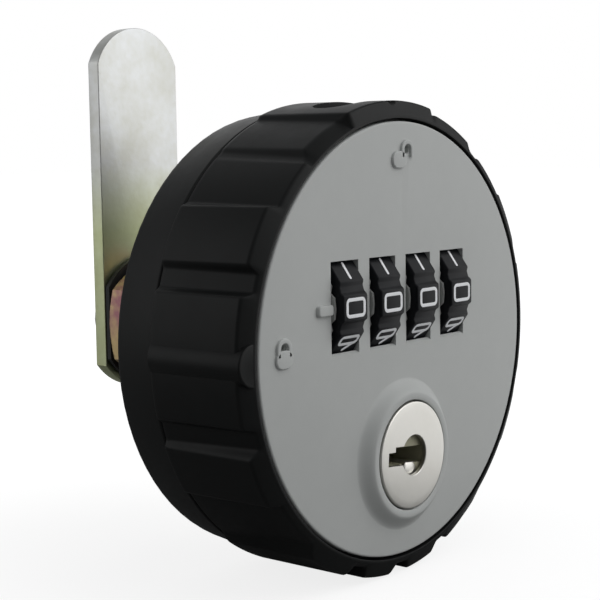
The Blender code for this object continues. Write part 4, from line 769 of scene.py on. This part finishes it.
def key_cover_points():
    """Rows of the cover: its hole, its face, its rounded rim and its inside. The hole's reach at
    each angle is the largest of a circle's and of two rectangles', which make the stepped slot."""
    corners = np.arctan2([SLOT_HIGH, SLOT_END_HIGH, SLOT_END_HIGH, SLOT_LOW, SLOT_HIGH, SLOT_LOW],
                         [SLOT_STEP, SLOT_STEP, SLOT_END, SLOT_END, -2.0, -2.1])
    a = np.concatenate((np.linspace(-180.0, 180.0, 481)[:-1], np.degrees(corners)))
    a = np.radians(np.unique(a))
    leftwards = np.minimum(np.cos(a), -1e-9)

    def box_reach(left, high):
        """How far a ray from the middle runs inside the rectangle from left to 0, low to high."""
        with np.errstate(divide="ignore"):
            upright = np.where(np.sin(a) > 0.0, high, SLOT_LOW) / np.sin(a)
        return np.where(np.cos(a) < -1e-9, np.minimum(left / leftwards, np.abs(upright)), 0.0)

    circle = KEYHOLE_X * np.cos(a) + np.sqrt(KEYHOLE_RADIUS ** 2 - (KEYHOLE_X * np.sin(a)) ** 2)
    hole = np.maximum.reduce([circle, box_reach(SLOT_STEP, SLOT_HIGH), box_reach(SLOT_END, SLOT_END_HIGH)])
    rim = np.array([(0.0, KEY_FRONT), (6.4, KEY_FRONT), (6.4, FACE_Y + 1.5), (5.7, FACE_Y + 1.5),
                    (5.7, KEY_FRONT + 0.5), (0.0, KEY_FRONT + 0.5)])
    # Each corner becomes six points, and those of the two corners on the axis are dropped.
    rim = eased(rim, np.array([0, 0.17, 0.05, 0.05, 0.1, 0]), 6)[6:30]
    r = np.stack([hole, hole + 0.07] + [np.full_like(a, radius) for radius in (5.4, *rim[:, 0])] + [hole])
    y = np.array([KEY_FRONT + 0.07, KEY_FRONT, KEY_FRONT, *rim[:, 1], KEY_FRONT + 0.5])
    return around(r, y[:, None], a - KEY_TILT, (0.0, KEY_Z))


fitted(surface("key_cover", key_cover_points(), close_rows=True), nickel, "key_face", sharp=40.0)

cast_zinc = finish_of("cast_zinc", ((0.30, 0.29, 0.235), (0.40, 0.385, 0.32)), (0.42, 0.58),
                      mottle_scale=700.0, grain_scale=2400.0, bump=0.00001, metallic=0.85)
for node in ("key_barrel", "locking_comb"):
    fitted(merged_copy(node), cast_zinc, node)
plug_zinc = finish_of("plug_zinc", ((0.34, 0.325, 0.225), (0.40, 0.385, 0.28)), (0.55, 0.65),
                      mottle_scale=700.0, grain_scale=2400.0, bump=0.00001, metallic=0.2, specular=0.4)


def key_turned(piece):
    """Mesh turned by KEY_TILT about the key's axis."""
    shift = Matrix.Translation((0.0, 0.0, KEY_Z * MM))
    piece.data.transform(shift @ Matrix.Rotation(KEY_TILT, 4, "Y") @ shift.inverted())
    return piece


keyway = prism("keyway", oblong(3.4, 1.75, 0.1, (-3.4, KEY_Z - 0.28), 2), KEY_FRONT, KEY_FRONT + 6)
plug = shaped(merged_copy("key_plug"), cuts=[keyway])
fitted(key_turned(plug), plug_zinc, "key_plug")

# The pin is turned with a low domed end and milled flat on top.
PIN_X, PIN_Z, PIN_RADIUS, PIN_DOME = 0.75, KEY_Z - 2.0, 1.4, 0.4
dome = np.linspace(0.0, 1.0, 10) * np.pi / 2
pin_r = np.maximum([*(PIN_RADIUS * np.sin(dome)), PIN_RADIUS, 0.0], 0.0001)
pin_y = KEY_FRONT + np.array([*(0.7 + PIN_DOME * (1 - np.cos(dome))), 5.5, 5.5])
pin = surface("key_stop_pin", spun(pin_r, pin_y, 64, (PIN_X, PIN_Z)), capped=True)
flat_cut = prism("flat_cut", oblong(4.0, 2.0, 0.1, (PIN_X, PIN_Z + 2.0), 2), KEY_FRONT - 1, KEY_FRONT + 7)
fitted(key_turned(shaped(pin, cuts=[flat_cut])), nickel, "key_pin", sharp=40.0)


# Rear fixing: a steel neck with a rolled thread and two flats, a yellow-passivated nut, a
# blackened stop washer and a zinc-plated flat cam held by a screw and washer.
plating = {"tones": ((0.62, 0.632, 0.64), (0.56, 0.56, 0.515)), "rough": (0.38, 0.48), "mottle_scale": 190.0,
           "contrast": 2.6, "grain_scale": 1500.0, "bump": 0.000012, "metallic": 1.0}
zinc = finish_of("zinc_plate", **plating)
THREAD_PITCH, THREAD_RADIUS, THREAD_DEPTH = 1.0, 6.0, 0.55
NECK_FLAT_HALF, NECK_BORE, HEAD_HALF = 5.3, 4.35, 8.0
HEAD_Y, SHOULDER_Y, NECK_END_Y = -2.5, -1.3, 21.5
neck_turn = np.linspace(0.0, 2 * np.pi, 96, endpoint=False)


def neck_points():
    """Rows along the neck and back through its bore. The radius is the thread's, less its depth
    times a flat-topped wave of place and turn that sets in over half a millimetre, bevelled at
    the end and cut to two flats."""
    y = np.linspace(SHOULDER_Y, NECK_END_Y, 300)[:, None]
    phase = (y / THREAD_PITCH - neck_turn / (2 * np.pi)) % 1.0
    wave = np.clip(1.25 * np.abs(2 * phase - 1) - 0.1, 0.0, 1.0)
    r = THREAD_RADIUS - THREAD_DEPTH * wave * np.clip(y / 0.5, 0, 1)
    r = np.minimum(r, THREAD_RADIUS - np.clip(y - 20.9, 0.0, 1.0))
    r = np.minimum(r, NECK_FLAT_HALF / np.maximum(np.abs(np.cos(neck_turn)), 0.2))
    r = np.concatenate((r, np.full((2, len(neck_turn)), NECK_BORE)))
    return around(r, np.concatenate((y, [[NECK_END_Y], [SHOULDER_Y]])), neck_turn)


def square_reach(half, a):
    """How far a square of this half width reaches at angle a."""
    return half / np.maximum(np.abs(np.cos(a)), np.abs(np.sin(a)))


fitted(surface("neck_thread", neck_points(), close_rows=True), zinc, "threaded_neck", sharp=40.0)
head_square = square_reach(HEAD_HALF, neck_turn)
head_bore = np.full_like(head_square, NECK_BORE)
head_y = np.array([HEAD_Y, HEAD_Y, SHOULDER_Y, SHOULDER_Y])
head = around(np.stack((head_bore, head_square, head_square, head_bore)), head_y[:, None], neck_turn)
fitted(surface("neck_head", head, close_rows=True), zinc, "threaded_neck")

yellow_zinc = finish_of("yellow_passivate", ((0.66, 0.50, 0.26), (0.40, 0.19, 0.21)), (0.28, 0.38),
                        mottle_scale=150.0, contrast=5.0, grain_scale=1800.0, bump=0.000006, metallic=1.0)
NUT_FRONT_Y, NUT_BACK_Y, NUT_HALF, NUT_BORE, NUT_FACE_RADIUS = 16.5, 21.5, 8.0, 6.3, 7.8


def nut_points():
    """Nut's radius at each angle and depth: the smaller of the hexagon's, half its width over the
    cosine of the angle from the middle of the nearest flat, and that of a 30 degree cone on either
    face. The bore closes it at both ends."""
    degrees = np.concatenate((np.linspace(0.0, 360.0, 181)[:-1], np.arange(30.0, 360.0, 60.0)))
    degrees = np.unique(np.round(degrees, 6))
    hexagon = NUT_HALF / np.cos(np.radians((degrees + 30.0) % 60.0 - 30.0))
    bevel = np.linspace(0.0, 1.0, 10)
    y = np.concatenate(([NUT_FRONT_Y], NUT_FRONT_Y + bevel, np.linspace(18.0, 20.0, 4),
                        NUT_BACK_Y - bevel[::-1], [NUT_BACK_Y]))
    cone = NUT_FACE_RADIUS + np.minimum(y - NUT_FRONT_Y, NUT_BACK_Y - y) / math.tan(math.radians(30.0))
    r = np.minimum(hexagon, cone[:, None])
    r[[0, -1]] = NUT_BORE
    return around(r, y[:, None], np.radians(degrees))


fitted(surface("hexagon_nut", nut_points(), close_rows=True), yellow_zinc, "fixing_nut", sharp=25.0)

black_steel = finish_of("black_steel", ((0.010, 0.010, 0.011), (0.018, 0.018, 0.019)), (0.45, 0.6),
                        mottle_scale=400.0, grain_scale=2500.0, bump=0.00001, specular=0.4)
dressed("stop_washer", black_steel)

CAM_FRONT_Y, CAM_HALF, CAM_THICK, CAM_HOLE_HALF = NUT_BACK_Y + 0.6 + 0.65 + 0.3, 7.25, 2.0, 3.3
TIP_RADIUS, TIP_Z, TAIL_RADIUS = 7.8, 31.5, 9.3
FRONT_ROLL, BACK_ROLL = 0.12, 0.2


def cam_points():
    """Outline with an arc at the tip, straight sides and an arc round the square hole. Its rows
    are drawn in towards the middle line by a quarter circle at either face, and the hole's edge
    is the first row and the last."""
    tip_side, tail_side = math.acos(CAM_HALF / TIP_RADIUS), math.acos(CAM_HALF / TAIL_RADIUS)
    tip = np.linspace(tip_side, np.pi - tip_side, 49)
    tail = np.linspace(np.pi + tail_side, 2 * np.pi - tail_side, 33)
    side_z = np.linspace(-5.6, 34.2, 24)
    side_x = np.full(24, CAM_HALF)
    x = np.concatenate((TIP_RADIUS * np.cos(tip), -side_x, TAIL_RADIUS * np.cos(tail), side_x))
    z = np.concatenate((TIP_Z + TIP_RADIUS * np.sin(tip), side_z[::-1], TAIL_RADIUS * np.sin(tail), side_z))
    outline = np.stack((x, z), axis=-1)
    inward = np.stack((-x, np.clip(z, 0.0, TIP_Z) - z), axis=-1)
    inward = inward / np.linalg.norm(inward, axis=-1, keepdims=True)
    polar = np.arctan2(z, x)
    hole = square_reach(CAM_HOLE_HALF, polar)
    hole = np.stack((hole * np.cos(polar), hole * np.sin(polar)), axis=-1)[None]
    a = np.linspace(0.0, np.pi / 2, 6)
    inset = np.concatenate((FRONT_ROLL * (1 - np.sin(a)), BACK_ROLL * (1 - np.cos(a))))
    depth = np.concatenate((FRONT_ROLL * (1 - np.cos(a)), CAM_THICK - BACK_ROLL * (1 - np.sin(a))))
    rows = np.concatenate((hole, outline + inward * inset[:, None, None], hole))
    y = CAM_FRONT_Y + np.concatenate(([0.0], depth, [CAM_THICK]))
    return np.stack((rows[..., 0], np.broadcast_to(y[:, None], rows.shape[:2]), rows[..., 1]), axis=-1)


# Painted shade on the cam: its colour is tinted olive and made a little darker towards its root, where it
# reflects the dark case.
cam_zinc = finish_of("cam_zinc_plate", **plating)
tree = cam_zinc.node_tree
height = tree.nodes.new("ShaderNodeSeparateXYZ")
painted_shade_ramp = tree.nodes.new("ShaderNodeMapRange")
painted_shade_ramp.inputs["From Min"].default_value = 0.021
painted_shade_ramp.inputs["From Max"].default_value = 0.012
# Painted shade: the colour is multiplied by a dark olive below about 21 mm, fully below 12 mm.
painted_olive_shade = tree.nodes.new("ShaderNodeMix")
painted_olive_shade.data_type = "RGBA"
painted_olive_shade.blend_type = "MULTIPLY"
painted_olive_shade.inputs["B"].default_value = (0.94, 1.0, 0.62, 1.0)
tree.links.new(tree.nodes["Texture Coordinate"].outputs["Object"], height.inputs[0])
tree.links.new(height.outputs["Z"], painted_shade_ramp.inputs["Value"])
tree.links.new(painted_shade_ramp.outputs["Result"], painted_olive_shade.inputs["Factor"])
tree.links.new(tree.nodes["Group"].outputs["Color"], painted_olive_shade.inputs["A"])
tree.links.new(painted_olive_shade.outputs["Result"], tree.nodes["Principled BSDF"].inputs["Base Color"])
fitted(surface("flat_cam", cam_points(), close_rows=True), cam_zinc, "cam", sharp=30.0)

spring_steel = finish_of("spring_steel", ((0.42, 0.42, 0.42), (0.5, 0.5, 0.5)), (0.3, 0.4),
                         mottle_scale=300.0, grain_scale=2500.0, bump=0.000006, metallic=1.0)
for node in ("cam_lock_washer", "dial_axle"):
    fitted(merged_copy(node), spring_steel, node)
dressed("detent_spring", spring_steel)
for node in ("cam_screw", "spindle", "key_tail_cam", "base_screw_1", "base_screw_2", "base_screw_3",
             "carrier_screw_1", "carrier_screw_2", "barrel_screw_1", "barrel_screw_2"):
    fitted(merged_copy(node), zinc, node)
